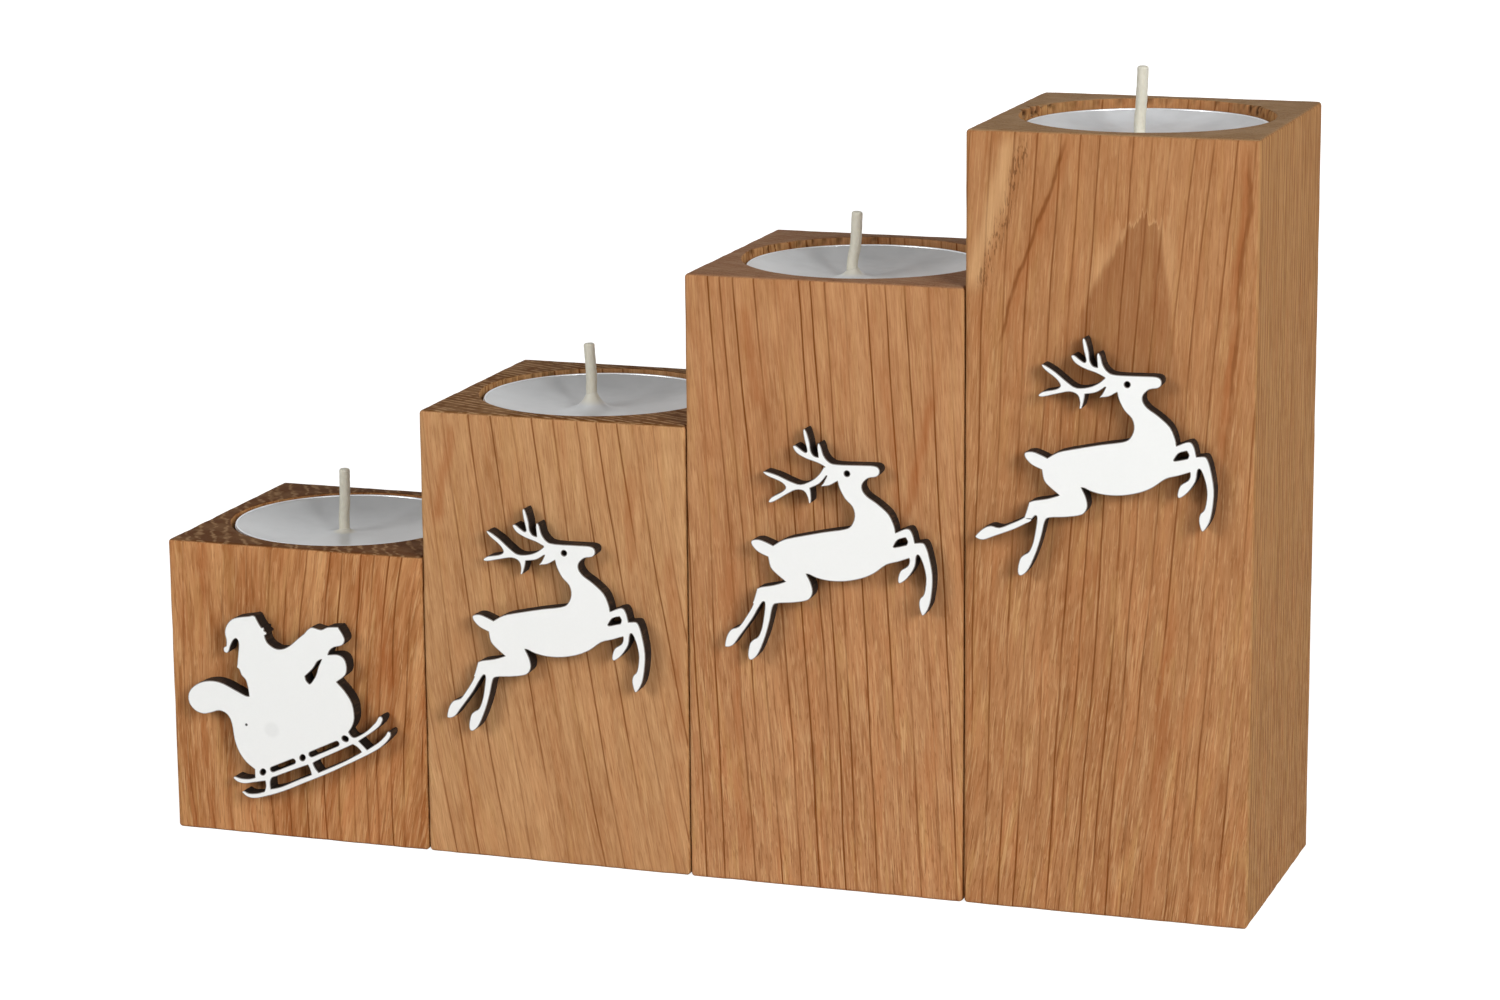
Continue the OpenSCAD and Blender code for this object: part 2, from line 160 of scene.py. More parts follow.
def streaks(add, place, size, low, high):
    """0 where a noise with grains of a size in millimetres is below low, and 1 where above high"""
    return add(RANGE, grains(add, place, size, 2.0), low, high, **SMOOTH)


def swing(add, share, reach):
    """A share from 0 to 1 as a shift of up to reach to either side"""
    return add(TIMES_PLUS, share, 2 * reach, -reach)


def tinted(add, base, share, strength, tint):
    """A colour mixed towards a hex colour where share is 1. Below, a shade is such a strength and
    colour."""
    return add(MIX, add(TIMES, share, strength), base, colour(tint), data_type="RGBA")


def marked(add, place, base, marks):
    """A colour with small soft oval marks. Each has its centre and half sizes in millimetres, its
    turn about Y, its colour and its strength."""
    for centre, half_sizes, turn, tint, strength in marks:
        oval = add(MAPPING, add(VECTOR_MINUS, place, centre), None, (0, turn, 0),
                   tuple(1 / s for s in half_sizes), vector_type="POINT")
        share = add(RANGE, add(VECTOR_LENGTH, oval, output="Value"), 1.0, 0.5, **SMOOTH)
        base = tinted(add, base, share, strength, tint)
    return base


# Materials

# Solid oak, sawn, sanded and oiled: warm tan side grain with fine fibres, short pale-brown
# pores and thin brown growth lines, and much darker end grain on the tops and undersides,
# lighter on each higher block as painted sheen
OAK_RUSSET = "#9a552a"
OAK_ROSE = "#c98858"
OAK_LINE = "#703c16"
OAK_PORE = "#4a2812"
OAK_FLAME = "#7b4a2a"
OAK_OLIVE = "#ca9f66"
OAK_FIBRE = "#e2b886"
# Torn grain round the mouth: its own darker colour, deepened to near-black as painted shade in the chips
OAK_TORN_SHADE = "#2a170c"
# Tone of the side grain: sizes of its streaks across and along the grain in millimetres, and
# how much each counts
OAK_TONES = (((10, 60), 0.40), ((3.0, 24), 0.34), ((1.1, 9), 0.40), ((0.45, 5), 0.45), ((0.22, 2.5), 0.45))
# Streaks of other tones: their sizes, where the noise starts and stops rising, strength, colour
OAK_STROKES = (
    ((2.6, 18), 0.50, 0.68, 0.28, OAK_ROSE),
    ((1.6, 12), 0.52, 0.68, 0.30, OAK_OLIVE),
    ((0.8, 16), 0.58, 0.72, 0.30, OAK_RUSSET),
    ((0.30, 7), 0.57, 0.65, 0.33, OAK_FIBRE),
    ((0.26, 6), 0.58, 0.64, 0.32, OAK_LINE),
    ((0.34, 11), 0.66, 0.70, 0.50, OAK_LINE),
    ((0.22, 2.6), 0.60, 0.67, 0.27, OAK_FIBRE),
    ((0.22, 2.2), 0.60, 0.67, 0.38, OAK_LINE),
)
# How each block was cut. lean: how far its fibres slope off the upright to the left going up, in mm
# per mm. bend, fan: how that changes with each mm of height and across. wave, curl: how far the
# grain wanders, and the growth lines on the ends. shade: how brown the wood is beside a line.
# russet: how red all of it is. wool: how strong its broad woolly streaks are. strokes: how many
# dark strokes there are at the top and at the foot. inks: how dark its lines are on the left and on
# the right, times foot_ink at the foot. tones: the dark and the pale of its side grain. ends: those of
# the end grain, lighter on each higher block as painted sheen, and how much its lines stand out.
# lines: where the front's growth lines run from the top edge to the foot, in mm from its left edge,
# with a bow aside half way. pitch, depth_pitch: how far apart they are on the other faces, across
# and from front to back.
GRAINS = {
    1: dict(lean=-0.10, bend=0.0, fan=-0.0050, wave=1.0, curl=1.2, shade=0.60, russet=0.14, wool=1.6,
            strokes=(0.7, 0.9), inks=(0.38, 0.88), foot_ink=1.0, bow=-1.2, pitch=2.1, depth_pitch=4.4,
            tones=("#90572d", "#d6a16e"), ends=("#684226", "#ae8963", 0.80),
            lines=((3.4, 3.3), (7.0, 6.8), (10.4, 10.6), (14.1, 14.2), (18.5, 17.2), (22.1, 20.5),
                   (25.6, 23.6), (29.9, 27.3), (32.0, 29.9), (35.3, 32.4), (37.7, 34.7),
                   (40.6, 36.5), (42.8, 39.0), (45.6, 41.2), (49.2, 44.4))),
    2: dict(lean=0.145, bend=-0.0014, fan=0.0, wave=0.35, curl=0.4, shade=0.16, russet=0.0, wool=0.3,
            strokes=(0.5, 0.5), inks=(0.80, 0.80), foot_ink=0.9, bow=-0.6, pitch=3.9, depth_pitch=1.6,
            tones=("#925d35", "#d7a979"), ends=("#754c28", "#c49b70", 0.80),
            lines=((-6.5, 4.9), (0.9, 8.9), (4.4, 14.3), (8.9, 18.2), (12.5, 23.3), (16.1, 27.2),
                   (19.6, 31.1), (23.3, 34.4), (27.5, 39.4), (30.8, 43.5), (34.4, 46.9),
                   (37.1, 50.0), (40.4, 53.0))),
    3: dict(lean=0.072, bend=0.0, fan=0.0, wave=0.35, curl=0.5, shade=0.24, russet=0.06, wool=0.1,
            strokes=(0.3, 1.1), inks=(0.92, 0.92), foot_ink=0.95, bow=0.2, pitch=3.8, depth_pitch=1.7,
            tones=("#8d5630", "#d5a374"), ends=("#986e50", "#bc9978", 0.26),
            lines=((-1.9, 2.6), (2.5, 5.7), (4.2, 11.0), (6.2, 13.3), (8.3, 15.6), (11.6, 19.0),
                   (14.9, 22.3), (18.9, 24.9), (20.9, 26.6), (23.3, 28.4), (26.4, 31.7),
                   (30.1, 35.9), (33.1, 39.0), (36.3, 42.4), (40.1, 45.0), (43.2, 48.0))),
    4: dict(lean=-0.082, bend=0.0006, fan=0.0006, wave=0.5, curl=0.5, shade=0.22, russet=0.05, wool=0.3,
            strokes=(0.4, 1.0), inks=(0.64, 0.64), foot_ink=1.4, bow=-0.5, pitch=3.7, depth_pitch=1.6,
            tones=("#8c562f", "#c89668"), ends=("#9f7b56", "#c4a480", 0.24),
            lines=((1.0, -3.5), (4.5, 0.2), (8.0, 3.0), (11.5, 5.5), (15.3, 8.0), (18.3, 10.8),
                   (21.4, 13.3), (24.7, 15.5), (26.8, 18.3), (29.6, 21.0), (32.2, 23.3),
                   (35.8, 25.7), (38.7, 28.7), (42.4, 32.6), (45.5, 36.0), (49.0, 41.0))),
}
# Patterns in the oak: the size of their grains across, deep and along in millimetres, and where
# the noise starts and stops rising
WOOL = ((1.7, 1.7, 14), 0.30, 0.70)
RIBS = ((0.5, 0.5, 40), 0.46, 0.62)
LINE_BREAKS = ((2.2, 2.2, 40), 0.34, 0.62)
SHADE_BREAKS = ((3, 3, 20), 0.35, 0.65)
VEIN_BREAKS = ((7, 7, 10), 0.25, 0.50)
OPEN_PORES = ((0.24, 0.24, 1.3), 0.54, 0.61)
FLAME_JAG = ((0.6, 0.6, 9), 0.25, 0.75)
RING_BREAKS = ((1.6, 1.6, 1.6), 0.30, 0.60)
END_PORES = ((0.3, 0.3, 0.3), 0.52, 0.68)
END_CLOUDS = ((5, 5, 5), 0.40, 0.70)
# Sizes of other grains, in millimetres
WANDER_SIZE = (14, 14, 42)
CURL_SIZE = (2, 2, 2)
VEIN_BENDS = (4, 4, 11.1)
RELIEF_SIZE = (0.25, 0.25, 4)
# How much of its own tint or ink each of these takes
WOOL_WEIGHT = 0.35
SIDE_OLIVE = 0.42
RIB_INK = 0.36
TORN_SHADE_INK = 0.85
END_PORE_INK = 0.35
END_CLOUD_TINT = 0.25
# How squarely a face looks up, aside or forward before it counts as an end, a side or a front
END_FACING = (0.55, 0.85)
SIDE_FACING = (0.5, 0.9)
FRONT_FACING = 0.5
# Where a growth line is darkest, where it ends and where the brown beside it and a pale ring on
# the ends do, off its middle in millimetres. Then its strength where it is faintest, how far one
# at a pitch strays as a share of the pitch, and a distance beyond all of them.
LINE_CORE = 0.05
LINE_EDGE = 0.21
LINE_SHADE = 1.3
RING_EDGE = 0.55
LINE_FAINTEST = 0.22
LINE_STRAY = 0.25
FAR = 99.0
# Turns of the lines between one block and the next, so that they don't stray alike
TURNS_APART = 10.0
# Where the lines' ink changes from the left one to the right one, across from the middle
INK_SPAN = (-8.0, 4.0)
# How deep the growth lines lie in the relief, as a share of the fibres, where the fibres' noise
# counts as low and high, and how rough the oak is there
PORE_RELIEF = -0.8
FIBRE_SPAN = (0.3, 0.7)
OAK_ROUGHNESS = (0.50, 0.66)
# Growth lines on the front of one block close into a flame. Its tip across and up from the middle
# of the front, and for each side how steeply it opens at the tip, how far, how much it spreads
# with each mm below that, and where that ends
FLAME_BLOCK = 4
FLAME_X = 5.1
FLAME_Z = 49.6
FLAME_LEFT = (3.0, 1.7, 0.53, 10)
FLAME_RIGHT = (3.0, 2.3, 0.15, 9.5)
# The jags of its top: length and start, the heights between which they grow, and the least
JAG_REACH = (3.0, -1.9)
JAG_HEIGHTS = (FLAME_Z - 9, FLAME_Z - 3)
JAG_LEAST = 0.3
# Where its colour, its edge and the pale wood outside begin and are full, off its outline, then
# the heights between which it fades in and the last two do, and how deep behind the middle it goes
FLAME_INSIDE = (-0.2, 0.6)
FLAME_EDGE = (0.45, 0.05)
FLAME_OUTSIDE = (-3.0, -0.4)
FLAME_FADE = (2.0, 32.0)
FLAME_TOP = (FLAME_Z - 17, FLAME_Z - 8)
FLAME_DEPTH = (12.0, 0.0)
# Strengths and colours of the pale wood, the flame and its edge
FLAME_TINTS = ((0.22, OAK_FIBRE), (0.38, OAK_FLAME), (0.22, OAK_LINE))
# How far a vein wanders, how wide its full core is, where it fades in from its ends, as shares of
# its length off its middle, and how deep behind the front it is gone and full
VEIN_WANDER = 1.5
VEIN_CORE = 0.1
VEIN_ENDS = (0.5, 0.38)
VEIN_DEPTHS = (12, 3)
# Single veins on the fronts: their upper and lower ends across and up from the middle of the
# front, half width, strength and colour. One in the colour of pores is a chain of open pores.
VEINS = {
    1: (((15, 25), (19, -25), 1.6, 0.45, OAK_RUSSET),
        ((9, 2), (4, -25), 1.2, 0.35, OAK_RUSSET),
        ((12, -2), (8, -25), 2.2, 0.40, OAK_ROSE)),
    2: (((20, 20), (22, -25), 1.5, 0.30, OAK_RUSSET),
        ((-17, 36), (-20, 18), 1.5, 0.40, OAK_RUSSET),
        ((13, 34), (14, 4), 1.2, 0.30, OAK_RUSSET)),
    3: (((-16, 12), (-14, -49), 1.4, 0.30, OAK_RUSSET),
        ((8, 49), (14, 5), 1.0, 0.35, OAK_RUSSET),
        ((-13, 46), (-11, 28), 1.6, 0.40, OAK_RUSSET),
        ((19, 38), (13, 8), 1.3, 0.45, OAK_RUSSET)),
    4: (((-15.5, 62), (-22, 36), 2.4, 0.40, OAK_FIBRE),
        ((-13, 62), (-20.5, 36), 1.8, 0.55, OAK_PORE),
        ((-6.4, 62), (-17.4, 27.5), 1.8, 0.35, OAK_RUSSET),
        ((-6.9, 62), (-17.9, 27.5), 0.5, 0.65, OAK_LINE),
        ((21.6, 62), (17.6, 10), 1.2, 0.48, OAK_RUSSET),
        ((22.0, 62), (18.4, 12), 0.45, 0.50, OAK_LINE),
        ((10.5, -6), (7, -62), 1.6, 0.35, OAK_RUSSET)),
}


def straightened(add, place, grain):
    """The place with the grain's slope and wander taken out, so that it runs along Z, and how far
    it wanders there"""
    x, y, z = add(SPLIT, place).node.outputs
    slope = add(TIMES_PLUS, z, grain["bend"] / 2, grain["lean"])
    slope = add(TIMES_PLUS, x, grain["fan"], slope)
    wander = swing(add, grains(add, place, WANDER_SIZE, 2.0), 2 * grain["wave"])
    across = add(PLUS, add(TIMES_PLUS, z, slope, x), wander)
    return add(JOIN, across, y, z), wander


def off_drawn_line(add, place, wander, half, grain):
    """How far a place is off the nearest of the listed growth lines, in millimetres"""
    x, _, z = add(SPLIT, place).node.outputs
    height = add(RANGE, z, -half.z, half.z, clamp=False)
    # The bow follows 4 h (1 - h), which is 1 half way up
    aside = add(TIMES, add(TIMES_PLUS, height, -1.0, 1.0), height)
    x = add(TIMES_PLUS, aside, -4 * grain["bow"], add(PLUS, x, wander))
    nearest = FAR
    for top, foot in grain["lines"]:
        middle = add(RANGE, height, 0.0, 1.0, foot - half.x, top - half.x, clamp=False)
        nearest = add(LEAST, add(POSITIVE, add(MINUS, x, middle)), nearest)
    return nearest


def off_spaced_line(add, block, place, straight, end):
    """How far a place is off the nearest of the growth lines at a pitch, in millimetres"""
    grain = GRAINS[block]
    across, y, _ = add(SPLIT, straight).node.outputs
    curl = add(TIMES, swing(add, grains(add, place, CURL_SIZE), grain["curl"]), end)
    turn = add(PLUS, across, curl)
    turn = add(TIMES_PLUS, turn, 1 / grain["pitch"], TURNS_APART * block)
    turn = add(TIMES_PLUS, y, 1 / grain["depth_pitch"], turn)
    line = add(WHOLE, turn)
    stray = add(RANDOM, line, noise_dimensions="1D", output="Value")
    line = add(PLUS, line, swing(add, stray, LINE_STRAY))
    off = add(POSITIVE, add(MINUS, turn, line))
    return add(TIMES, off, min(grain["pitch"], grain["depth_pitch"]))


def flame_room(add, deep, aside, side):
    """How far a place lies inside one side of the flame, in millimetres"""
    steep, start, spread, end = side
    reach = add(LEAST, add(TIMES_PLUS, deep, spread, start), add(TIMES, deep, steep))
    return add(PLUS, add(LEAST, reach, end), aside)


def flame_shares(add, place):
    """1 in the pale wood just outside the flame, 1 inside it, where it is jagged along its top
    and fades downward, and 1 on its edge"""
    x, y, z = add(SPLIT, place).node.outputs
    jag = add(TIMES_PLUS, streaks(add, place, *FLAME_JAG), *JAG_REACH)
    jag = add(TIMES, jag, add(RANGE, z, *JAG_HEIGHTS, JAG_LEAST, 1.0))
    deep = add(PLUS, jag, add(TIMES_PLUS, z, -1.0, FLAME_Z))
    aside = add(MINUS, x, FLAME_X)
    left = flame_room(add, deep, aside, FLAME_LEFT)
    right = flame_room(add, deep, add(TIMES, aside, -1.0), FLAME_RIGHT)
    room = add(LEAST, left, right)
    inside = add(RANGE, room, *FLAME_INSIDE, **SMOOTH)
    edge = add(RANGE, add(POSITIVE, room), *FLAME_EDGE)
    outside = add(RANGE, room, *FLAME_OUTSIDE, **SMOOTH)
    outside = add(MOST, add(MINUS, outside, inside), 0.0)
    fade = add(TIMES, add(RANGE, z, *FLAME_FADE), add(RANGE, y, *FLAME_DEPTH))
    near = add(TIMES, add(RANGE, z, *FLAME_TOP), fade)
    return [add(TIMES, share, kept) for share, kept in ((outside, near), (inside, fade), (edge, near))]


def vein_share(add, place, front, top, foot, half_width):
    """1 on a vein that runs between two ends on the front, 0 away from it"""
    (top_x, top_z), (foot_x, foot_z) = top, foot
    x, y, z = add(SPLIT, place).node.outputs
    height = add(RANGE, z, foot_z, top_z, clamp=False)
    middle = add(TIMES_PLUS, height, top_x - foot_x, foot_x)
    middle = add(PLUS, middle, swing(add, grains(add, place, VEIN_BENDS, 3.0), VEIN_WANDER))
    away = add(POSITIVE, add(MINUS, x, middle))
    off_middle = add(POSITIVE, add(MINUS, height, 0.5))
    share = add(RANGE, away, half_width, VEIN_CORE, **SMOOTH)
    share = add(TIMES, share, add(RANGE, off_middle, *VEIN_ENDS))
    gone, whole = VEIN_DEPTHS
    return add(TIMES, share, add(RANGE, y, front + gone, front + whole))


def side_grain(add, block, half, place, straight, beside, away, lines):
    """The colour of the front, the back and the sides"""
    grain = GRAINS[block]
    x, _, z = add(SPLIT, place).node.outputs
    tone = 0.5
    waves = [(grains(add, straight, (wide, wide, long)), weight) for (wide, long), weight in OAK_TONES]
    waves.append((streaks(add, straight, *WOOL), WOOL_WEIGHT * grain["wool"]))
    for wave, weight in waves:
        tone = add(PLUS, swing(add, wave, weight / 2), tone)
    dark, pale = (colour(text) for text in grain["tones"])
    side = add(MIX, tone, dark, pale, data_type="RGBA")
    ribs = add(TIMES, streaks(add, straight, *RIBS), beside)
    shade = add(RANGE, away, LINE_SHADE, 0.0)
    shade = add(TIMES, shade, streaks(add, straight, *SHADE_BREAKS))
    layers = [(beside, SIDE_OLIVE, OAK_OLIVE), (ribs, RIB_INK, OAK_LINE),
              (shade, grain["shade"], OAK_RUSSET), (1.0, grain["russet"], OAK_RUSSET)]
    many = add(RANGE, z, -half.z, half.z, *reversed(grain["strokes"]))
    for (wide, long), start, stop, strength, tint in OAK_STROKES:
        strokes = streaks(add, straight, (wide, wide, long), start, stop)
        layers.append((add(TIMES, strokes, many), strength, tint))
    if block == FLAME_BLOCK:
        layers += [(share, *tint) for share, tint in zip(flame_shares(add, place), FLAME_TINTS)]
    ink = add(RANGE, x, *INK_SPAN, *grain["inks"])
    ink = add(TIMES, ink, add(RANGE, z, -half.z, half.z, grain["foot_ink"], 1.0))
    layers.append((lines, ink, OAK_LINE))
    for top, foot, half_width, strength, tint in VEINS[block]:
        breaks = OPEN_PORES if tint == OAK_PORE else VEIN_BREAKS
        share = vein_share(add, place, -half.y, top, foot, half_width)
        layers.append((add(TIMES, share, streaks(add, place, *breaks)), strength, tint))
    # Torn chips round the mouth go near-black with their depth: painted shade over the torn grain
    layers.append((add(ATTRIBUTE, attribute_name="torn_shade", output="Fac"), TORN_SHADE_INK, OAK_TORN_SHADE))
    for layer in layers:
        side = tinted(add, side, *layer)
    return side


def end_grain(add, place, away, dark, pale, contrast):
    """The colour of the top and the underside: pale growth lines and open pores on dark brown,
    lighter on each higher block as painted sheen
    """
    rings = add(RANGE, away, RING_EDGE, LINE_CORE, **SMOOTH)
    rings = add(TIMES, rings, streaks(add, place, *RING_BREAKS))
    ends = tinted(add, colour(dark), rings, contrast, pale)
    ends = tinted(add, ends, streaks(add, place, *END_PORES), END_PORE_INK, OAK_PORE)
    return tinted(add, ends, streaks(add, place, *END_CLOUDS), END_CLOUD_TINT, pale)


def oiled_oak(block, add, place):
    """The oak of one block, in which the same growth lines run over every face"""
    low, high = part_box(f"block_{block}")
    half = (high - low) / 2 / MM
    grain = GRAINS[block]
    straight, wander = straightened(add, place, grain)
    facing = add(VECTOR_POSITIVE, add(PLACE, output="Normal"))
    sideways, frontways, upright = add(SPLIT, facing).node.outputs
    beside = add(RANGE, sideways, *SIDE_FACING)
    end = add(RANGE, upright, *END_FACING, **SMOOTH)
    front = add(ABOVE, frontways, FRONT_FACING)
    away = add(MIX, front, off_spaced_line(add, block, place, straight, end),
               off_drawn_line(add, place, wander, half, grain), data_type="FLOAT")
    whole = add(RANGE, streaks(add, straight, *LINE_BREAKS), 0.0, 1.0, LINE_FAINTEST, 1.0)
    lines = add(TIMES, add(RANGE, away, LINE_EDGE, LINE_CORE, **SMOOTH), whole)
    side = side_grain(add, block, half, place, straight, beside, away, lines)
    # The end grain's tones are lighter on each higher block: painted sheen
    ends = end_grain(add, place, away, *grain["ends"])
    # Fibres and pores leave a fine relief under the oil
    fibre = grains(add, straight, RELIEF_SIZE, 3.0)
    relief = add(TIMES_PLUS, lines, PORE_RELIEF, fibre)
    return add(SURFACE, named={
        "Base Color": add(MIX, end, side, ends, data_type="RGBA"),
        "Roughness": add(RANGE, fibre, *FIBRE_SPAN, *OAK_ROUGHNESS),
        "Normal": add(BUMP, 0.5, 0.05 * MM, named={"Height": relief}),
        "IOR": 1.47, "Specular IOR Level": 0.01})


# White satin lacquer sprayed on board: an even, slightly warm white with a faint orange-peel
# relief, browned by the laser in a hair's width along its rim and darkened there further into a
# dark line round the outline, as painted shade
LACQUER = "#f1f2f0"
LACQUER_SHADE = (0.12, "#e9e9e6")
# The rim's dark line: laser scorch, darkened further as painted shade round the outline
RIM_SCORCH_AND_SHADE = (0.8, "#54453a")
PEEL_SIZE = (0.4, 0.4, 0.4)
PEEL_SPAN = (0.35, 0.65)
# A dark dot and a soft smudge on the sleigh, and the crack at a reindeer's hock
LACQUER_MARKS = {
    "sleigh": (((-7.8, 0, -3.1), (0.32, 9, 0.32), 0, "#1d1a18", 0.95),
               ((-3.2, 0, -3.6), (1.7, 9, 1.7), 0, "#c9cac8", 0.20)),
    "deer_3": (((-10.1, 0, -9.8), (0.8, 9, 0.12), 0.45, "#2a2320", 0.85),),
}


def satin_lacquer(figure, add, place):
    """The white skin of one figure, with its few small blemishes"""
    rim = add(ATTRIBUTE, attribute_name="rim", output="Fac")
    peel = grains(add, place, PEEL_SIZE, 2.0)
    base = tinted(add, colour(LACQUER), add(RANGE, peel, *PEEL_SPAN), *LACQUER_SHADE)
    base = marked(add, place, base, LACQUER_MARKS.get(figure, ()))
    return add(SURFACE, named={
        # The rim's dark line is laser scorch darkened further as painted shade
        "Base Color": tinted(add, base, rim, *RIM_SCORCH_AND_SHADE),
        "Roughness": 0.5, "IOR": 1.5, "Specular IOR Level": 0.35,
        "Normal": add(BUMP, 0.25, 0.03 * MM, named={"Height": peel})})


# Fibreboard cut by laser: a dull charred edge, nearly black, with fine upright burn lines
# through its thickness, 0.25 mm apart
CHAR = "#211a16"
CHAR_SHADE = (0.8, "#463629")
BURNS = ((0.25, 3.0, 0.25), 0.35, 0.65)
SCORCHES = ((2.5, 2.5, 2.5), 0.40, 0.65)


def charred_board(add, place):
    """The laser-cut edge of the figures' board"""
    burns = streaks(add, place, *BURNS)
    share = add(TIMES, burns, streaks(add, place, *SCORCHES))
    return add(SURFACE, named={
        "Base Color": tinted(add, colour(CHAR), share, *CHAR_SHADE),
        "Roughness": 0.75, "IOR": 1.45, "Specular IOR Level": 0.25,
        "Normal": add(BUMP, 0.6, 0.05 * MM, named={"Height": burns})})


# Aluminium sheet, drawn: bright and a little cloudy, with fine marks down the drawn wall
ALUMINIUM = "#dddfe1"
ALUMINIUM_SHADE = (0.3, "#c2c5c9")
DRAW_MARKS = ((0.3, 0.3, 6), 0.35, 0.65)
CLOUDS = ((3, 3, 3), 0.35, 0.65)


def drawn_aluminium(add, place):
    """The sheet of the tealight cups"""
    marks = streaks(add, place, *DRAW_MARKS)
    clouds = streaks(add, place, *CLOUDS)
    return add(SURFACE, named={
        "Base Color": tinted(add, colour(ALUMINIUM), clouds, *ALUMINIUM_SHADE),
        "Metallic": 1.0, "Roughness": add(RANGE, marks, 0.0, 1.0, 0.28, 0.42),
        "Normal": add(BUMP, 0.3, 0.02 * MM, named={"Height": marks})})


# Paraffin wax, poured and set: a cool translucent white with a soft gloss, faintly mottled
# where it set, with a few specks of dust. Its white steps lighter from the lowest tealight to the
# highest: painted shade on the lower ones beside taller blocks, painted light on the top one
WAX_PAINTED_LIGHT_AND_SHADE = {1: "#d6d8d9", 2: "#d9dbdc", 3: "#dfe1e2", 4: "#e1e3e5"}
WAX_SHADE = (0.4, "#cbcdce")
MOTTLES = ((4, 4, 4), 0.35, 0.70)
SWELL_SIZE = (2.86, 2.86, 2.86)
# Specks on the fourth, and on each how far the wick's cream shows round its foot
WAX_MARKS = {
    4: (((-9.0, 0.5, 0), (0.3, 0.5, 90), 0, "#6d7074", 0.7),
        ((12.6, 2.0, 0), (0.3, 0.5, 90), 0, "#777a7e", 0.7),
        ((13.2, -1.5, 0), (0.5, 0.5, 90), 0, "#8f9296", 0.6)),
}
CREAM_REACH = (2.4, 2.4, 90)
CREAM_STRENGTH = 0.9


def poured_wax(block, add, place):
    """The wax of one tealight"""
    # Each tealight's white holds painted light and shade by how high its block stands
    base = tinted(add, colour(WAX_PAINTED_LIGHT_AND_SHADE[block]), streaks(add, place, *MOTTLES), *WAX_SHADE)
    cream = ((STRAYS[block][0], 0, 0), CREAM_REACH, 0, WICK, CREAM_STRENGTH)
    base = marked(add, place, base, (*WAX_MARKS.get(block, ()), cream))
    swell = grains(add, place, SWELL_SIZE)
    return add(SURFACE, named={
        "Base Color": base, "Roughness": 0.28, "IOR": 1.44, "Specular IOR Level": 0.5,
        "Subsurface Weight": 0.25, "Subsurface Radius": (1.0, 1.0, 1.0),
        "Subsurface Scale": 1.5 * MM,
        "Normal": add(BUMP, 0.3, 0.3 * MM, named={"Height": swell})})


# Cotton wick, braided and dipped in wax: a creamy white thread, 0.35 mm wide, that shows
# faintly through a dull coat
WICK = "#dedaca"
WICK_SHADE = (0.35, "#cec8b6")
THREADS = ((0.35, 0.35, 0.9), 0.40, 0.65)


def dipped_cotton(add, place):
    """The wicks"""
    threads = streaks(add, place, *THREADS)
    return add(SURFACE, named={
        "Base Color": tinted(add, colour(WICK), threads, *WICK_SHADE),
        "Roughness": 0.5, "IOR": 1.44, "Specular IOR Level": 0.4,
        "Subsurface Weight": 0.15, "Subsurface Radius": (1.0, 0.9, 0.7),
        "Subsurface Scale": 0.5 * MM,
        "Normal": add(BUMP, 0.25, 0.04 * MM, named={"Height": threads})})


# Tinplate, pressed: duller and greyer than the cup
TIN = "#b4b6b8"
TIN_SHADE = (0.4, "#8e9194")
SPANGLE = ((1.5, 1.5, 1.5), 0.40, 0.60)


def pressed_tin(add, place):
    """The sustainers under the wax"""
    spangle = streaks(add, place, *SPANGLE)
    return add(SURFACE, named={
        "Base Color": tinted(add, colour(TIN), spangle, *TIN_SHADE), "Metallic": 1.0,
        "Roughness": add(RANGE, spangle, 0.0, 1.0, 0.35, 0.5)})


# Shapes

def add_piece(name, points, faces, sharp_degrees=35):
    """A piece from its points and faces, shaded smooth up to an angle"""
    mesh = bpy.data.meshes.new(name)
    mesh.from_pydata([tuple(point) for point in points], [], faces)
    mesh.polygons.foreach_set("use_smooth", [True] * len(mesh.polygons))
    mesh.update()
    mesh.set_sharp_from_angle(angle=math.radians(sharp_degrees))
    piece = bpy.data.objects.new(name, mesh)
    bpy.context.scene.collection.objects.link(piece)
    return piece


def finish_piece(piece, material, body, slot, *nodes):
    """Gives a piece its material and its body, and hides the nodes that it stands for. slot is not used.
    """
    piece.data.materials.append(material)
    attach(piece, body)
    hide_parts(*nodes)


def rounding(radius, steps):
    """How far the points round a rounded edge lie in from the one face and off the other"""
    turns = [QUARTER * step / steps for step in range(steps + 1)]
    return [(radius * (1 - math.sin(turn)), radius * (1 - math.cos(turn))) for turn in turns]


def outward(turn):
    """The direction of a turn about the upright"""
    return Vector((math.cos(turn), math.sin(turn), 0))


def band(start, count):
    """Faces between the ring of points that begins at start and the next one"""
    pairs = [(start + step, start + (step + 1) % count) for step in range(count)]
    return [(a, b, b + count, a + count) for a, b in pairs]


def skin_over(rings):
    """Points and faces of a closed skin over rings of one count, each end drawn to its middle.
    The rings run round to the left, up the outside, inward over the top and down any inside."""
    count = len(rings[0])
    points = [Vector(point) for ring in rings for point in ring]
    faces = []
    for start in range(0, count * (len(rings) - 1), count):
        faces += band(start, count)
    for ring, start in ((rings[0], 0), (rings[-1], count * (len(rings) - 1))):
        points.append(sum((Vector(point) for point in ring), Vector()) / count)
        for a, b, _, _ in band(start, count):
            faces.append((b, a, len(points) - 1) if start == 0 else (a, b, len(points) - 1))
    return points, faces


def add_skin(name, rings, middle, sharp_degrees=35):
    """A piece that is a closed skin over rings, moved to its middle"""
    points, faces = skin_over([[point + middle for point in ring] for ring in rings])
    return add_piece(name, points, faces, sharp_degrees)


# Oak blocks

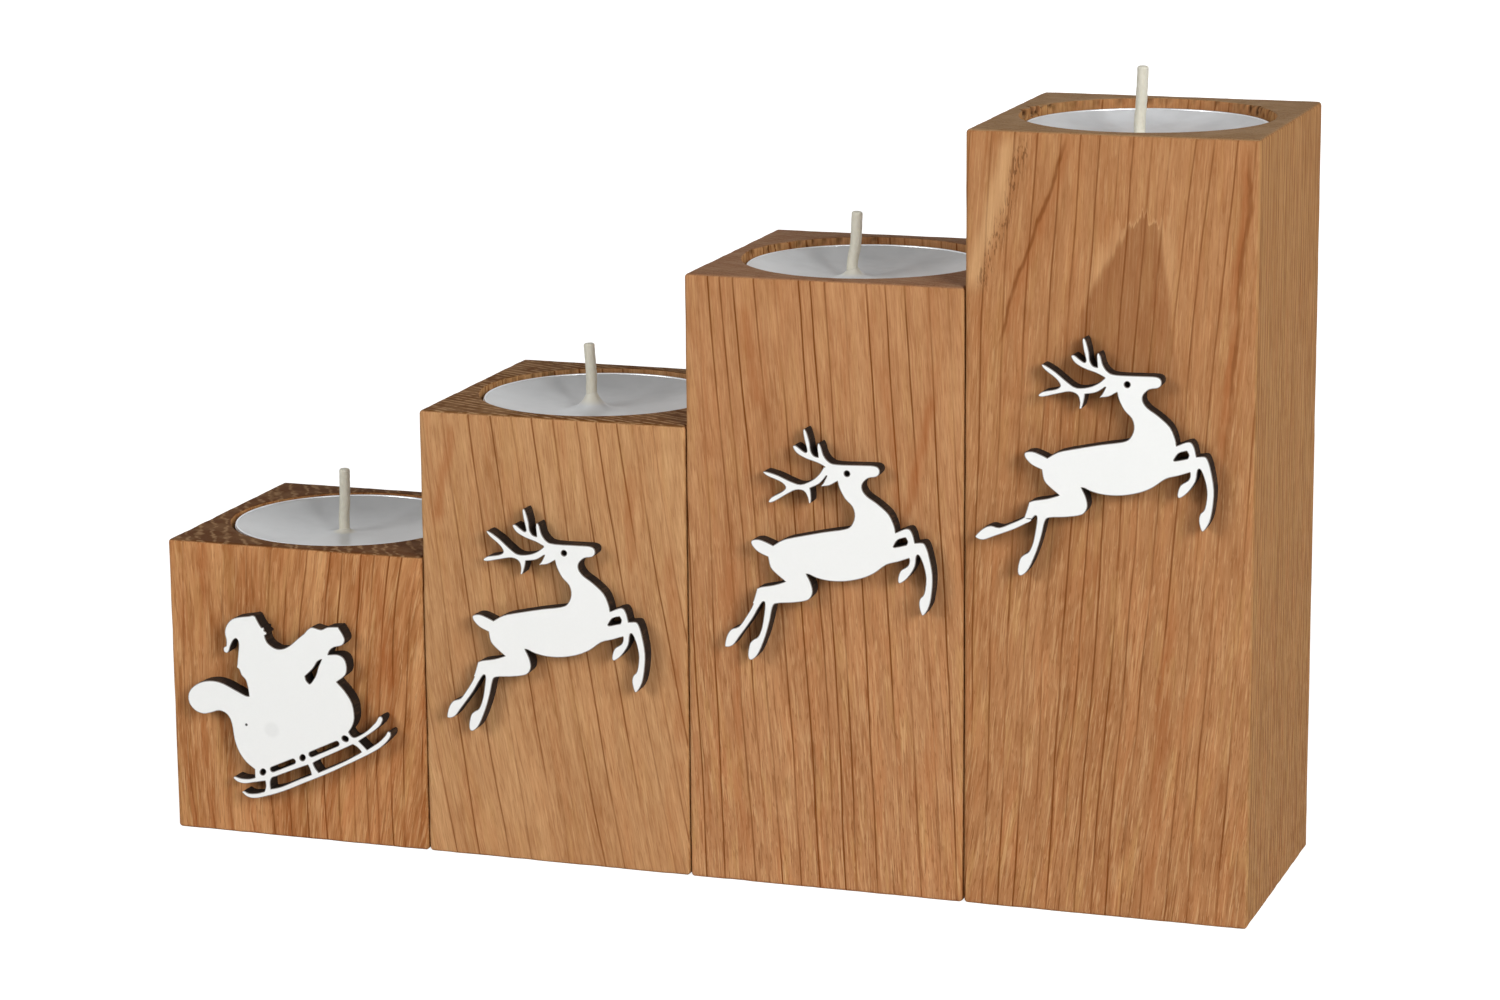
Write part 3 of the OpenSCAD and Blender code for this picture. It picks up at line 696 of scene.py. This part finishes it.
EDGE_EASE = 0.6 * MM
LEAST_CORNER = 0.1 * MM
EASE_STEPS = 4
CORNER_STEPS = 6
FLAT_STEPS = 84
SIDE_STEP = 3 * MM
WELL_R = 20 * MM
MOUTH_EASE = 0.3 * MM
# How far sanding has drawn an edge in at most, how wide it reaches, the length of a dip, how much
# finer and fainter the small dips on it are, and how much of the noise counts
EDGE_DIP = 0.10 * MM
DIP_REACH = 1.0 * MM
DIP_LENGTH = 4.0 * MM
SMALL_DIPS = (2.7, 0.5)
DIP_START = 0.25
# Dips from one block to the next, so that they aren't worn alike
DIPS_APART = 9.0
# Grain torn out round the mouth by the cutter: direction, half width and depth of each stretch,
# in degrees and metres, the width and length of a chip, how far down the wall it reaches, how
# much of the noise counts, and by how much that is raised
TORN = {
    1: ((60, 20, 0.2 * MM), (180, 30, 0.2 * MM)),
    2: ((150, 40, 0.25 * MM),),
    3: ((120, 30, 0.3 * MM), (165, 20, 0.3 * MM)),
    4: ((166, 17, 1.1 * MM), (41, 13, 1.0 * MM), (95, 70, 0.25 * MM)),
}
CHIP_WIDTH = 0.8 * MM
CHIP_LENGTH = 2.0 * MM
CHIP_REACH = 1.6 * MM
CHIP_START = 0.2
CHIP_GAIN = 1.6
# How far a point must lie back to be darkened as torn at all, and how much further to be fully dark:
# painted shade that deepens with the chip, over the torn grain's own colour
TORN_START = 0.08 * MM
TORN_FULL = 0.4 * MM
# Fibres raised on the wall of the well, their width and their length
FIBRE = 0.04 * MM
FIBRE_WIDTH = 0.7 * MM
FIBRE_LENGTH = 6 * MM
# Groove that the cutter's rim scores round the floor, and the mark of its point
SCORE_DEPTH = 0.4 * MM
SCORE_WIDTH = 0.6 * MM
MARK_R = 1.5 * MM
MARK_DEPTH = 1.2 * MM
MARK_TIP_SHARE = 0.125
# Where rings lie across the foot, the top and the floor, and down the wall
FOOT_SHARES = (0.3, 0.65)
TOP_SHARES = (0.12, 0.3, 0.5, 0.7, 0.88)
FLOOR_SHARES = (0.8, 0.55, 0.3)
WALL_SHARES = (0.015, 0.03, 0.045, 0.06, 0.08, 0.1, 0.13, 0.2, 0.35, 0.5, 0.7, 0.85, 1)


def square_ring(half, corner):
    """Points round a square with rounded corners, as many for every size"""
    reach = half - corner
    side = [(half, reach * (2 * step / FLAT_STEPS - 1)) for step in range(FLAT_STEPS)]
    for step in range(CORNER_STEPS):
        turn = QUARTER * step / CORNER_STEPS
        side.append((reach + corner * math.cos(turn), reach + corner * math.sin(turn)))
    points = []
    for _ in range(4):
        points += side
        side = [(-y, x) for x, y in side]
    return points


def worn(point, block, half, height):
    """Draws a point near an edge inward by a smooth random amount, as sanding does"""
    rooms = (half - abs(point.x), half - abs(point.y), min(point.z, height - point.z))
    near = max(0, 1 - sorted(rooms)[1] / DIP_REACH)
    if near == 0:
        return point
    spot = point / DIP_LENGTH + Vector((block * DIPS_APART, 0, 0))
    finer, fainter = SMALL_DIPS
    dip = noise.noise(spot) + fainter * noise.noise(spot * finer)
    dip = EDGE_DIP * near * min(1, max(0, dip + DIP_START))
    inward = Vector((-math.copysign(1, point.x), -math.copysign(1, point.y),
                     1 if point.z < height / 2 else -1))
    for axis in range(3):
        point[axis] += inward[axis] * dip * max(0, 1 - rooms[axis] / DIP_REACH)
    return point


def torn_depth(block, turn):
    """How deep the grain is torn out of the mouth in one direction"""
    depth = 0
    for direction, half_width, deep in TORN[block]:
        away = abs((math.degrees(turn) - direction + 180) % 360 - 180) / half_width
        depth = max(depth, deep * max(0, 1 - away ** 4))
    return depth


def torn_shade_shares(ring):
    """For each point of a ring of the mouth, how deep it lies in a torn chip, from 0 to 1: its share of
    painted shade
    """
    reaches = [math.hypot(point.x, point.y) for point in ring]
    least = min(reaches)
    if abs(least - WELL_R) > 2 * MOUTH_EASE:
        return [0] * len(ring)
    return [min(1, max(0, reach - least - TORN_START) / TORN_FULL) for reach in reaches]


def block_rings(block, half, height, floor):
    """Rings from the foot up the sides, over the top and down into the well"""
    turns = [math.atan2(y, x) for x, y in square_ring(half, EDGE_EASE)]
    eases = rounding(EDGE_EASE, EASE_STEPS)

    def square(inset, z):
        ring = square_ring(half - inset, max(EDGE_EASE - inset, LEAST_CORNER))
        return [worn(Vector((x, y, z)), block, half, height) for x, y in ring]

    def circle(radius, z):
        ring = []
        for turn in turns:
            out = outward(turn)
            up = Vector((0, 0, z))
            chip = noise.noise(out * WELL_R / CHIP_WIDTH + up / CHIP_LENGTH)
            chip = max(0, chip + CHIP_START) * max(0, 1 - ((height - z) / CHIP_REACH) ** 2)
            fibre = noise.noise(out * WELL_R / FIBRE_WIDTH + up / FIBRE_LENGTH)
            reach = radius + CHIP_GAIN * chip * torn_depth(block, turn) + FIBRE * fibre
            ring.append(out * reach + up)
        return ring

    def between(outer, inner, share):
        return [a.lerp(b, share) for a, b in zip(outer, inner)]

    foot = square(EDGE_EASE, 0)
    rings = [[point * share for point in foot] for share in FOOT_SHARES]
    rings += [square(inset, rise) for inset, rise in eases]
    levels = round((height - 2 * EDGE_EASE) / SIDE_STEP)
    for level in range(1, levels):
        rings.append(square(0, EDGE_EASE + (height - 2 * EDGE_EASE) * level / levels))
    rings += [square(inset, height - drop) for drop, inset in eases]
    mouth = circle(WELL_R + MOUTH_EASE, height)
    rings += [between(rings[-1], mouth, share) for share in TOP_SHARES]
    rings += [circle(WELL_R + away, height - drop) for away, drop in rounding(MOUTH_EASE, EASE_STEPS)]
    depth = height - MOUTH_EASE - floor
    rings += [circle(WELL_R, height - MOUTH_EASE - depth * share) for share in WALL_SHARES]
    rings.append(circle(WELL_R - SCORE_WIDTH / 2, floor - SCORE_DEPTH))
    rings.append(circle(WELL_R - SCORE_WIDTH, floor))
    rings += [circle(WELL_R * share, floor) for share in FLOOR_SHARES]
    rings.append(circle(MARK_R, floor))
    rings.append(circle(MARK_R * MARK_TIP_SHARE, floor - MARK_DEPTH * (1 - MARK_TIP_SHARE)))
    return rings


def add_block(block):
    """One oak block with its well"""
    low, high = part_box(f"block_{block}")
    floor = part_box(f"tealight_cup_{block}")[0].z
    middle = Vector((*((low + high) / 2).xy, 0))
    rings = block_rings(block, (high.x - low.x) / 2, high.z, floor)
    piece = add_skin(f"oak_block_{block}", rings, middle, sharp_degrees=50)
    # The skin ends in two more points, the middles of the foot and of the floor
    shares = [share for ring in rings for share in torn_shade_shares(ring)] + [0, 0]
    piece.data.attributes.new("torn_shade", "FLOAT", "POINT").data.foreach_set("value", shares)
    node = f"block_{block}"
    oak = new_material(f"oiled_oak_{block}", partial(oiled_oak, block), node)
    finish_piece(piece, oak, f"block_{block}", "oak", node)


# Cut-out figures

# Rounding of the lacquer's rim, and how far in the laser's browning and the painted shade along
# the outline reach
RIM_EASE = 0.06 * MM
RIM_BROWN_AND_SHADE = 0.16 * MM
# How much narrower the laser's slanted cut leaves the back of the board
KERF = 0.05 * MM


def outlines(node):
    """Closed outlines of a figure's flat front, read from its node, as places across and up"""
    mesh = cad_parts[node].data
    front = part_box(node)[0].y
    edges = set()
    for polygon in mesh.polygons:
        corners = [mesh.vertices[index].co for index in polygon.vertices]
        if max(corner.y for corner in corners) < front + 0.01 * MM:
            keys = [(round(corner.x, 6), round(corner.z, 6)) for corner in corners]
            edges.update(zip(keys, keys[1:] + keys[:1]))
    border = {start: end for start, end in edges if (end, start) not in edges}
    loops = []
    while border:
        start, point = border.popitem()
        loop = [start]
        while point != loop[0]:
            loop.append(point)
            point = border.pop(point)
        loops.append([Vector((x, 0, z)) for x, z in loop])
    return loops


def inward(loops):
    """For each outline its points' directions into the figure, and the room that each has"""
    every = [point for loop in loops for point in loop]
    result = []
    for loop in loops:
        row = []
        for index, point in enumerate(loop):
            before = (point - loop[index - 1]).normalized()
            after = (loop[(index + 1) % len(loop)] - point).normalized()
            along = (before + after).normalized()
            into = Vector((-along.z, 0, along.x))
            room = 1.0
            for other in every:
                gap = other - point
                ahead = gap.dot(into)
                if ahead > 1e-6:
                    room = min(room, gap.length_squared / (2 * ahead))
            row.append((into, room))
        result.append(row)
    return result


def plate(loops, directions, levels):
    """Points, faces and rim shares of a closed plate: levels hold an inset, a depth and a share,
    from the back of the plate over its rim to its front"""
    points, faces, rims = [], [], []
    shelves = [], []
    for loop, row in zip(loops, directions):
        start = len(points)
        for inset, depth, share in levels:
            for point, (into, room) in zip(loop, row):
                points.append(point + into * min(inset, 0.5 * room) + Vector((0, depth, 0)))
                rims.append(share)
        for level in range(len(levels) - 1):
            faces += band(start + level * len(loop), len(loop))
        for shelf, first in zip(shelves, (start, len(points) - len(loop))):
            shelf.append(range(first, first + len(loop)))
    for shelf, backward in zip(shelves, (True, False)):
        numbers = [number for ring in shelf for number in ring]
        flat = [[Vector((points[number].x, points[number].z, 0)) for number in ring] for ring in shelf]
        for triangle in geometry.tessellate_polygon(flat):
            a, b, c = (numbers[index] for index in triangle)
            normal = (points[b] - points[a]).cross(points[c] - points[a])
            faces.append((a, b, c) if (normal.y > 0) == backward else (a, c, b))
    return points, faces, rims


def add_figure(figure, block, core_node, face_node, board):
    """A figure as its charred board and its white skin"""
    loops = outlines(face_node)
    directions = inward(loops)
    front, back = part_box(face_node)[0].y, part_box(core_node)[1].y
    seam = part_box(core_node)[0].y
    board_levels = [(KERF, back, 0), (0, (back + seam) / 2, 0), (0, seam, 0)]
    points, faces, _ = plate(loops, directions, board_levels)
    piece = add_piece(f"{figure}_board", points, faces)
    finish_piece(piece, board, f"block_{block}", "board", core_node)
    rim = [(inset, front + drop, 1) for drop, inset in rounding(RIM_EASE, 2)]
    points, faces, rims = plate(loops, directions, [(0, seam, 1), *rim, (RIM_BROWN_AND_SHADE, front, 0)])
    piece = add_piece(f"{figure}_lacquer", points, faces)
    piece.data.attributes.new("rim", "FLOAT", "POINT").data.foreach_set("value", rims)
    white = new_material(f"satin_lacquer_{figure}", partial(satin_lacquer, figure), face_node)
    finish_piece(piece, white, f"block_{block}", "lacquer", face_node)


# Tealights

ROUND = 128
CUP_WALL = 0.3 * MM
BEAD_R = 0.18 * MM
FOOT_EASE = 0.8 * MM
CUP_TAPER = 0.8 * MM
# The neck under the bead, in walls of the cup, and the turn that the bead's curl starts and ends at
NECK_WALLS = 1.4
BEAD_STEPS = 8
BEAD_TURNS = (-60, 180)
# The raised middle of the base: its height, where its rings lie, and how wide the ring is that
# the cup stands on, in eases of the foot
BASE_RISE = 0.25 * MM
BASE_SHARES = (0.3, 0.8)
INNER_BASE_SHARE = 0.4
STAND_EASES = 1.6
CUP_SHARES = (0.15, 0.3, 0.5, 0.75, 1)
# Wrinkles that drawing the sheet leaves: the rings of the foot and the wall that they fold, how
# many, how deep, and the share of the height they reach
WRINKLED = slice(4, 9)
WRINKLES = 36
WRINKLE = 0.09 * MM
WRINKLE_SHARE = 0.55
WAX_DROP = 0.18 * MM
WAX_DISH = 2.3 * MM
MOUND_R = 2.4 * MM
# The foot of the wax: its middle ring, its height in walls of the cup, and its bevel
WAX_FOOT_SHARE = 0.5
WAX_FOOT_WALLS = 2
WAX_BEVEL = (0.3 * MM, 1.5 * MM)
# Slow swells of the surface: their height and length
WAX_SWELL = 0.06 * MM
WAX_SWELL_LENGTH = 5 * MM
WICK_R = 0.925 * MM
# Where the wax begins, as a share of the wick's radius, and the length over which a wick leans
# from the wax to its middle
WAX_START_SHARE = 0.9
LEAN_LENGTH = 5.5 * MM
TUBE_TOP = 4.6 * MM
# For each tealight, how high the wax climbs its wick, how far it fans out there, and the height
# of the low mound round it
CONES = {1: (0.6 * MM, 0.4 * MM, 0.35 * MM), 2: (2.3 * MM, 0.9 * MM, 0.7 * MM),
         3: (1.4 * MM, 0.8 * MM, 0.35 * MM), 4: (0.6 * MM, 0.5 * MM, 0.3 * MM)}
# How far each wick has strayed along the row where it leaves the wax, half way up and at its tip
STRAYS = {1: (-1, -0.8, -0.7), 2: (-1.5, -1.6, -1.95), 3: (-2.3, -1.75, -1.5), 4: (-1.2, -1, -0.8)}
WAX_SHARES = (0, 0.008, 0.018, 0.03, 0.045, 0.065, 0.09, 0.12, 0.16, 0.22, 0.3, 0.4, 0.5, 0.6,
              0.7, 0.78, 0.85, 0.9, 0.94, 0.97, 0.99, 1)


def lathe(profile):
    """Rings of a turned shape from its radii and heights"""
    turns = [math.tau * step / ROUND for step in range(ROUND)]
    return [[Vector((radius * math.cos(turn), radius * math.sin(turn), z)) for turn in turns]
            for radius, z in profile]


def add_cup(block, middle, rim_r, height):
    """A drawn cup with a wrinkled foot and a rolled rim"""
    foot_r = rim_r - CUP_TAPER
    inner_r = rim_r - 2 * BEAD_R
    neck_r = inner_r + CUP_WALL * NECK_WALLS
    bead_z = height - BEAD_R
    profile = [(foot_r * share, BASE_RISE) for share in BASE_SHARES]
    profile.append((foot_r - STAND_EASES * FOOT_EASE, 0))
    profile += [(foot_r - inset, rise) for inset, rise in rounding(FOOT_EASE, 3)]
    wall = bead_z - BEAD_R - FOOT_EASE
    profile += [(foot_r + (neck_r - foot_r) * share, FOOT_EASE + wall * share) for share in CUP_SHARES]
    first, last = BEAD_TURNS
    for step in range(BEAD_STEPS + 1):
        turn = math.radians(first + (last - first) * step / BEAD_STEPS)
        profile.append((rim_r - BEAD_R + BEAD_R * math.cos(turn), bead_z + BEAD_R * math.sin(turn)))
    profile += [(inner_r, bead_z - BEAD_R), (foot_r - CUP_WALL, FOOT_EASE + CUP_WALL),
                (foot_r - FOOT_EASE, CUP_WALL), (foot_r * INNER_BASE_SHARE, CUP_WALL + BASE_RISE)]
    rings = lathe(profile)
    for ring in rings[WRINKLED]:
        for step, point in enumerate(ring):
            fade = max(0, 1 - point.z / (height * WRINKLE_SHARE))
            fold = WRINKLE * fade * (0.5 + 0.5 * math.cos(math.tau * WRINKLES * step / ROUND))
            point.x *= 1 - fold / rim_r
            point.y *= 1 - fold / rim_r
    return add_skin(f"aluminium_cup_{block}", rings, middle)


def add_wax(block, middle, wax_r, foot_r, height):
    """Wax with a dished top that climbs its wick"""
    exit_x, mid_x, _ = (stray * MM for stray in STRAYS[block])
    climb, spread, mound = CONES[block]
    lean = (mid_x - exit_x) / LEAN_LENGTH
    start_r = WICK_R * WAX_START_SHARE
    foot_z = CUP_WALL * WAX_FOOT_WALLS
    wider, bevel_z = WAX_BEVEL
    rings = lathe([(foot_r * WAX_FOOT_SHARE, foot_z), (foot_r, foot_z), (foot_r + wider, bevel_z)])
    for share in reversed(WAX_SHARES):
        ring = []
        for step in range(ROUND):
            turn = math.tau * step / ROUND
            out = outward(turn)
            room = -exit_x * out.x + math.sqrt(wax_r ** 2 - (exit_x * out.y) ** 2)
            away = (room - start_r) * share
            point = Vector((exit_x, 0, 0)) + out * (start_r + away)
            edge = min(1, point.length / wax_r)
            cone = climb * math.exp(-away / spread) * (1 - share)
            cone += mound * math.exp(-(away / MOUND_R) ** 2)
            swell = noise.noise(point / WAX_SWELL_LENGTH + Vector((block, 0, 0))) * (1 - edge)
            point.x += lean * cone
            point.z = height - WAX_DROP - WAX_DISH * (1 - edge ** 4) + cone + WAX_SWELL * swell
            ring.append(point)
        rings.append(ring)
    return add_skin(f"paraffin_wax_{block}", rings, middle, sharp_degrees=60)


def smooth_route(stops, steps):
    """Points along a smooth curve through the stops"""
    route = []
    padded = [stops[0], *stops, stops[-1]]
    for before, a, b, after in zip(padded, padded[1:], padded[2:], padded[3:]):
        for step in range(steps):
            t = step / steps
            route.append(0.5 * (2 * a + (b - before) * t + (2 * before - 5 * a + 4 * b - after) * t ** 2
                                + (3 * a - before - 3 * b + after) * t ** 3))
    return route + [stops[-1]]


WICK_ROUND = 28
WICK_STEPS = 24
# Where a wick starts above the bottom of the cup, and where it bends above the dish of the wax
WICK_FOOT = 0.65 * MM
WICK_EXIT = 0.7 * MM
# Strands each way, the rise of one turn of a strand, its relief, and how much of that the strands
# and the lumps take
STRANDS = 3
BRAID_RISE = 5.5 * MM
BRAID_RELIEF = 0.035 * MM
STRAND_SHARE = 0.6
LUMP_SHARE = 0.7
# The rounding of the tip, how narrow that ends, and the room left above it
TIP_EASE = 0.4 * MM
TIP_SHARE = 0.65
TIP_ROOM = 0.1 * MM
# Lumps from one wick to the next, so that they don't lie alike
LUMPS_APART = 20


def add_wick(block, middle, height, tip_z):
    """A braided wick along its own slightly bent route"""
    low_x, mid_x, tip_x = (stray * MM for stray in STRAYS[block])
    low_z = height - WAX_DROP - WAX_DISH + WICK_EXIT
    stops = [Vector((0, 0, WICK_FOOT)), Vector((0, 0, TUBE_TOP)), Vector((low_x, 0, low_z)),
             Vector((mid_x, 0, (low_z + tip_z) / 2)), Vector((tip_x, 0, tip_z))]
    route = smooth_route(stops, WICK_STEPS)
    rings = []
    for index, place in enumerate(route):
        along = (route[min(index + 1, len(route) - 1)] - route[max(index - 1, 0)]).normalized()
        side = Vector((along.z, 0, -along.x))
        left = (route[-1] - place).length
        radius = WICK_R - BRAID_RELIEF
        if left < TIP_EASE:
            round_share = math.sqrt(max(0, 1 - (1 - left / TIP_EASE) ** 2))
            radius *= round_share * (1 - TIP_SHARE) + TIP_SHARE
        ring = []
        for step in range(WICK_ROUND):
            turn = math.tau * step / WICK_ROUND
            twist = math.tau * place.z / BRAID_RISE
            strand = max(math.cos(STRANDS * (turn + twist)), math.cos(STRANDS * (turn - twist)))
            lump = noise.noise(outward(turn) + Vector((0, 0, place.z / MM + LUMPS_APART * block)))
            reach = radius + BRAID_RELIEF * (STRAND_SHARE * strand + LUMP_SHARE * lump)
            ring.append(place + (side * math.cos(turn) + Vector((0, 1, 0)) * math.sin(turn)) * reach)
        rings.append(ring)
    return add_skin(f"cotton_wick_{block}", rings, middle, sharp_degrees=60)


def add_tealight(block, aluminium, cotton, tin):
    """One tealight: its cup, wax and wick, and tin on its sustainer"""
    low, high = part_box(f"tealight_cup_{block}")
    middle = Vector((*((low + high) / 2).xy, low.z))
    height = high.z - low.z
    rim_r = (high.x - low.x) / 2
    body = f"tealight_{block}"
    cup = add_cup(block, middle, rim_r, height)
    finish_piece(cup, aluminium, body, "cup", f"tealight_cup_{block}")
    wax = add_wax(block, middle, rim_r - 2 * BEAD_R, rim_r - CUP_TAPER - 2 * CUP_WALL, height)
    node = f"tealight_wax_{block}"
    white = new_material(f"poured_wax_{block}", partial(poured_wax, block), node)
    finish_piece(wax, white, body, "wax", node)
    tip_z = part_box(f"tealight_wick_{block}")[1].z - low.z
    wick = add_wick(block, middle, height, tip_z - TIP_ROOM)
    finish_piece(wick, cotton, body, "wick", f"tealight_wick_{block}")
    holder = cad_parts[f"wick_sustainer_{block}"]
    holder.data.materials.clear()
    holder.data.materials.append(tin)


# Studio

WHITE = "#ffffff"
FLOOR_HALF = 4.0
FLOOR_GLOW = 0.92
FLOOR_BOUNCE = 0.45
FLOOR_PLAIN = 0.8
SKY = 0.12
# How high the backdrop ends, as the rise of a direction, and how bright the room is above it
BACKDROP_TOP = (0.32, 0.55)
ROOM = 0.75
# Each lamp's place, side, watts and whether gloss mirrors it: the one behind stands where
# polished things would throw it straight at the camera
SOFTBOXES = {
    "left_softbox": ((-0.90, -1.30, 0.70), 0.7, 11.4, True),
    "right_softbox": ((1.05, -0.90, 0.62), 0.6, 14.8, True),
    "back_softbox": ((-0.25, 1.35, 0.42), 0.7, 5.0, False),
}
AIM = Vector((0, 0, 0.06))


def seen_directly(add, mirrored=1.0):
    """1 for what the camera sees, and how bright it is in gloss or glass"""
    rays = add("LightPath").node.outputs
    seen = add(MOST, rays["Is Glossy Ray"], rays["Is Transmission Ray"])
    seen = add(TIMES, seen, mirrored)
    return add(MOST, seen, rays["Is Camera Ray"])


def add_floor():
    """A white floor that glows for the camera and keeps the object's shadow"""
    def paint(add, _):
        glow = add("Emission", colour(WHITE), FLOOR_GLOW)
        bounce, plain = (add("BsdfDiffuse", (grey, grey, grey, 1))
                         for grey in (FLOOR_BOUNCE, FLOOR_PLAIN))
        seen = add("AddShader", glow, bounce)
        return add("MixShader", seen_directly(add), plain, seen)
    corners = [(x * FLOOR_HALF, y * FLOOR_HALF, 0) for x, y in ((-1, -1), (1, -1), (1, 1), (-1, 1))]
    floor = add_piece("studio_floor", corners, [(0, 1, 2, 3)])
    floor.data.materials.append(new_material("white_paper", paint))


def add_sky():
    """An even, dim studio round the object, which the camera sees as white. Gloss shows a white
    backdrop that ends some way up, and the dimmer room above it."""
    world = bpy.data.worlds.new("studio")
    world.use_nodes = True
    world.node_tree.nodes.clear()
    add = partial(add_node, world.node_tree)
    up = add(SPLIT, add(PLACE, output="Generated")).node.outputs["Z"]
    backdrop = add(RANGE, up, *BACKDROP_TOP, 1.0, ROOM, **SMOOTH)
    strength = add(RANGE, seen_directly(add, backdrop), 0.0, 1.0, SKY, 1.0)
    add("OutputWorld", add("Background", colour(WHITE), strength))
    bpy.context.scene.world = world


def add_softbox(name, place, side, watts, mirrored):
    """A square soft light that faces the row"""
    data = bpy.data.lights.new(name, "AREA")
    data.size = side
    data.energy = watts
    lamp = bpy.data.objects.new(name, data)
    lamp.location = place
    lamp.rotation_euler = (AIM - Vector(place)).to_track_quat("-Z", "Y").to_euler()
    lamp.visible_glossy = mirrored
    bpy.context.scene.collection.objects.link(lamp)


# Assembly

add_camera()
for block in BLOCKS:
    add_block(block)
board = new_material("charred_board", charred_board)
add_figure("sleigh", 1, "sleigh_core", "sleigh_face", board)
for deer in DEER:
    add_figure(f"deer_{deer}", deer + 1, f"reindeer_core_{deer}", f"reindeer_face_{deer}", board)
aluminium = new_material("drawn_aluminium", drawn_aluminium)
cotton = new_material("dipped_cotton", dipped_cotton)
tin = new_material("pressed_tin", pressed_tin)
for block in BLOCKS:
    add_tealight(block, aluminium, cotton, tin)
add_floor()
add_sky()
for name, settings in SOFTBOXES.items():
    add_softbox(name, *settings)

bpy.context.view_layer.update()
bpy.context.scene.view_settings.view_transform = "Standard"
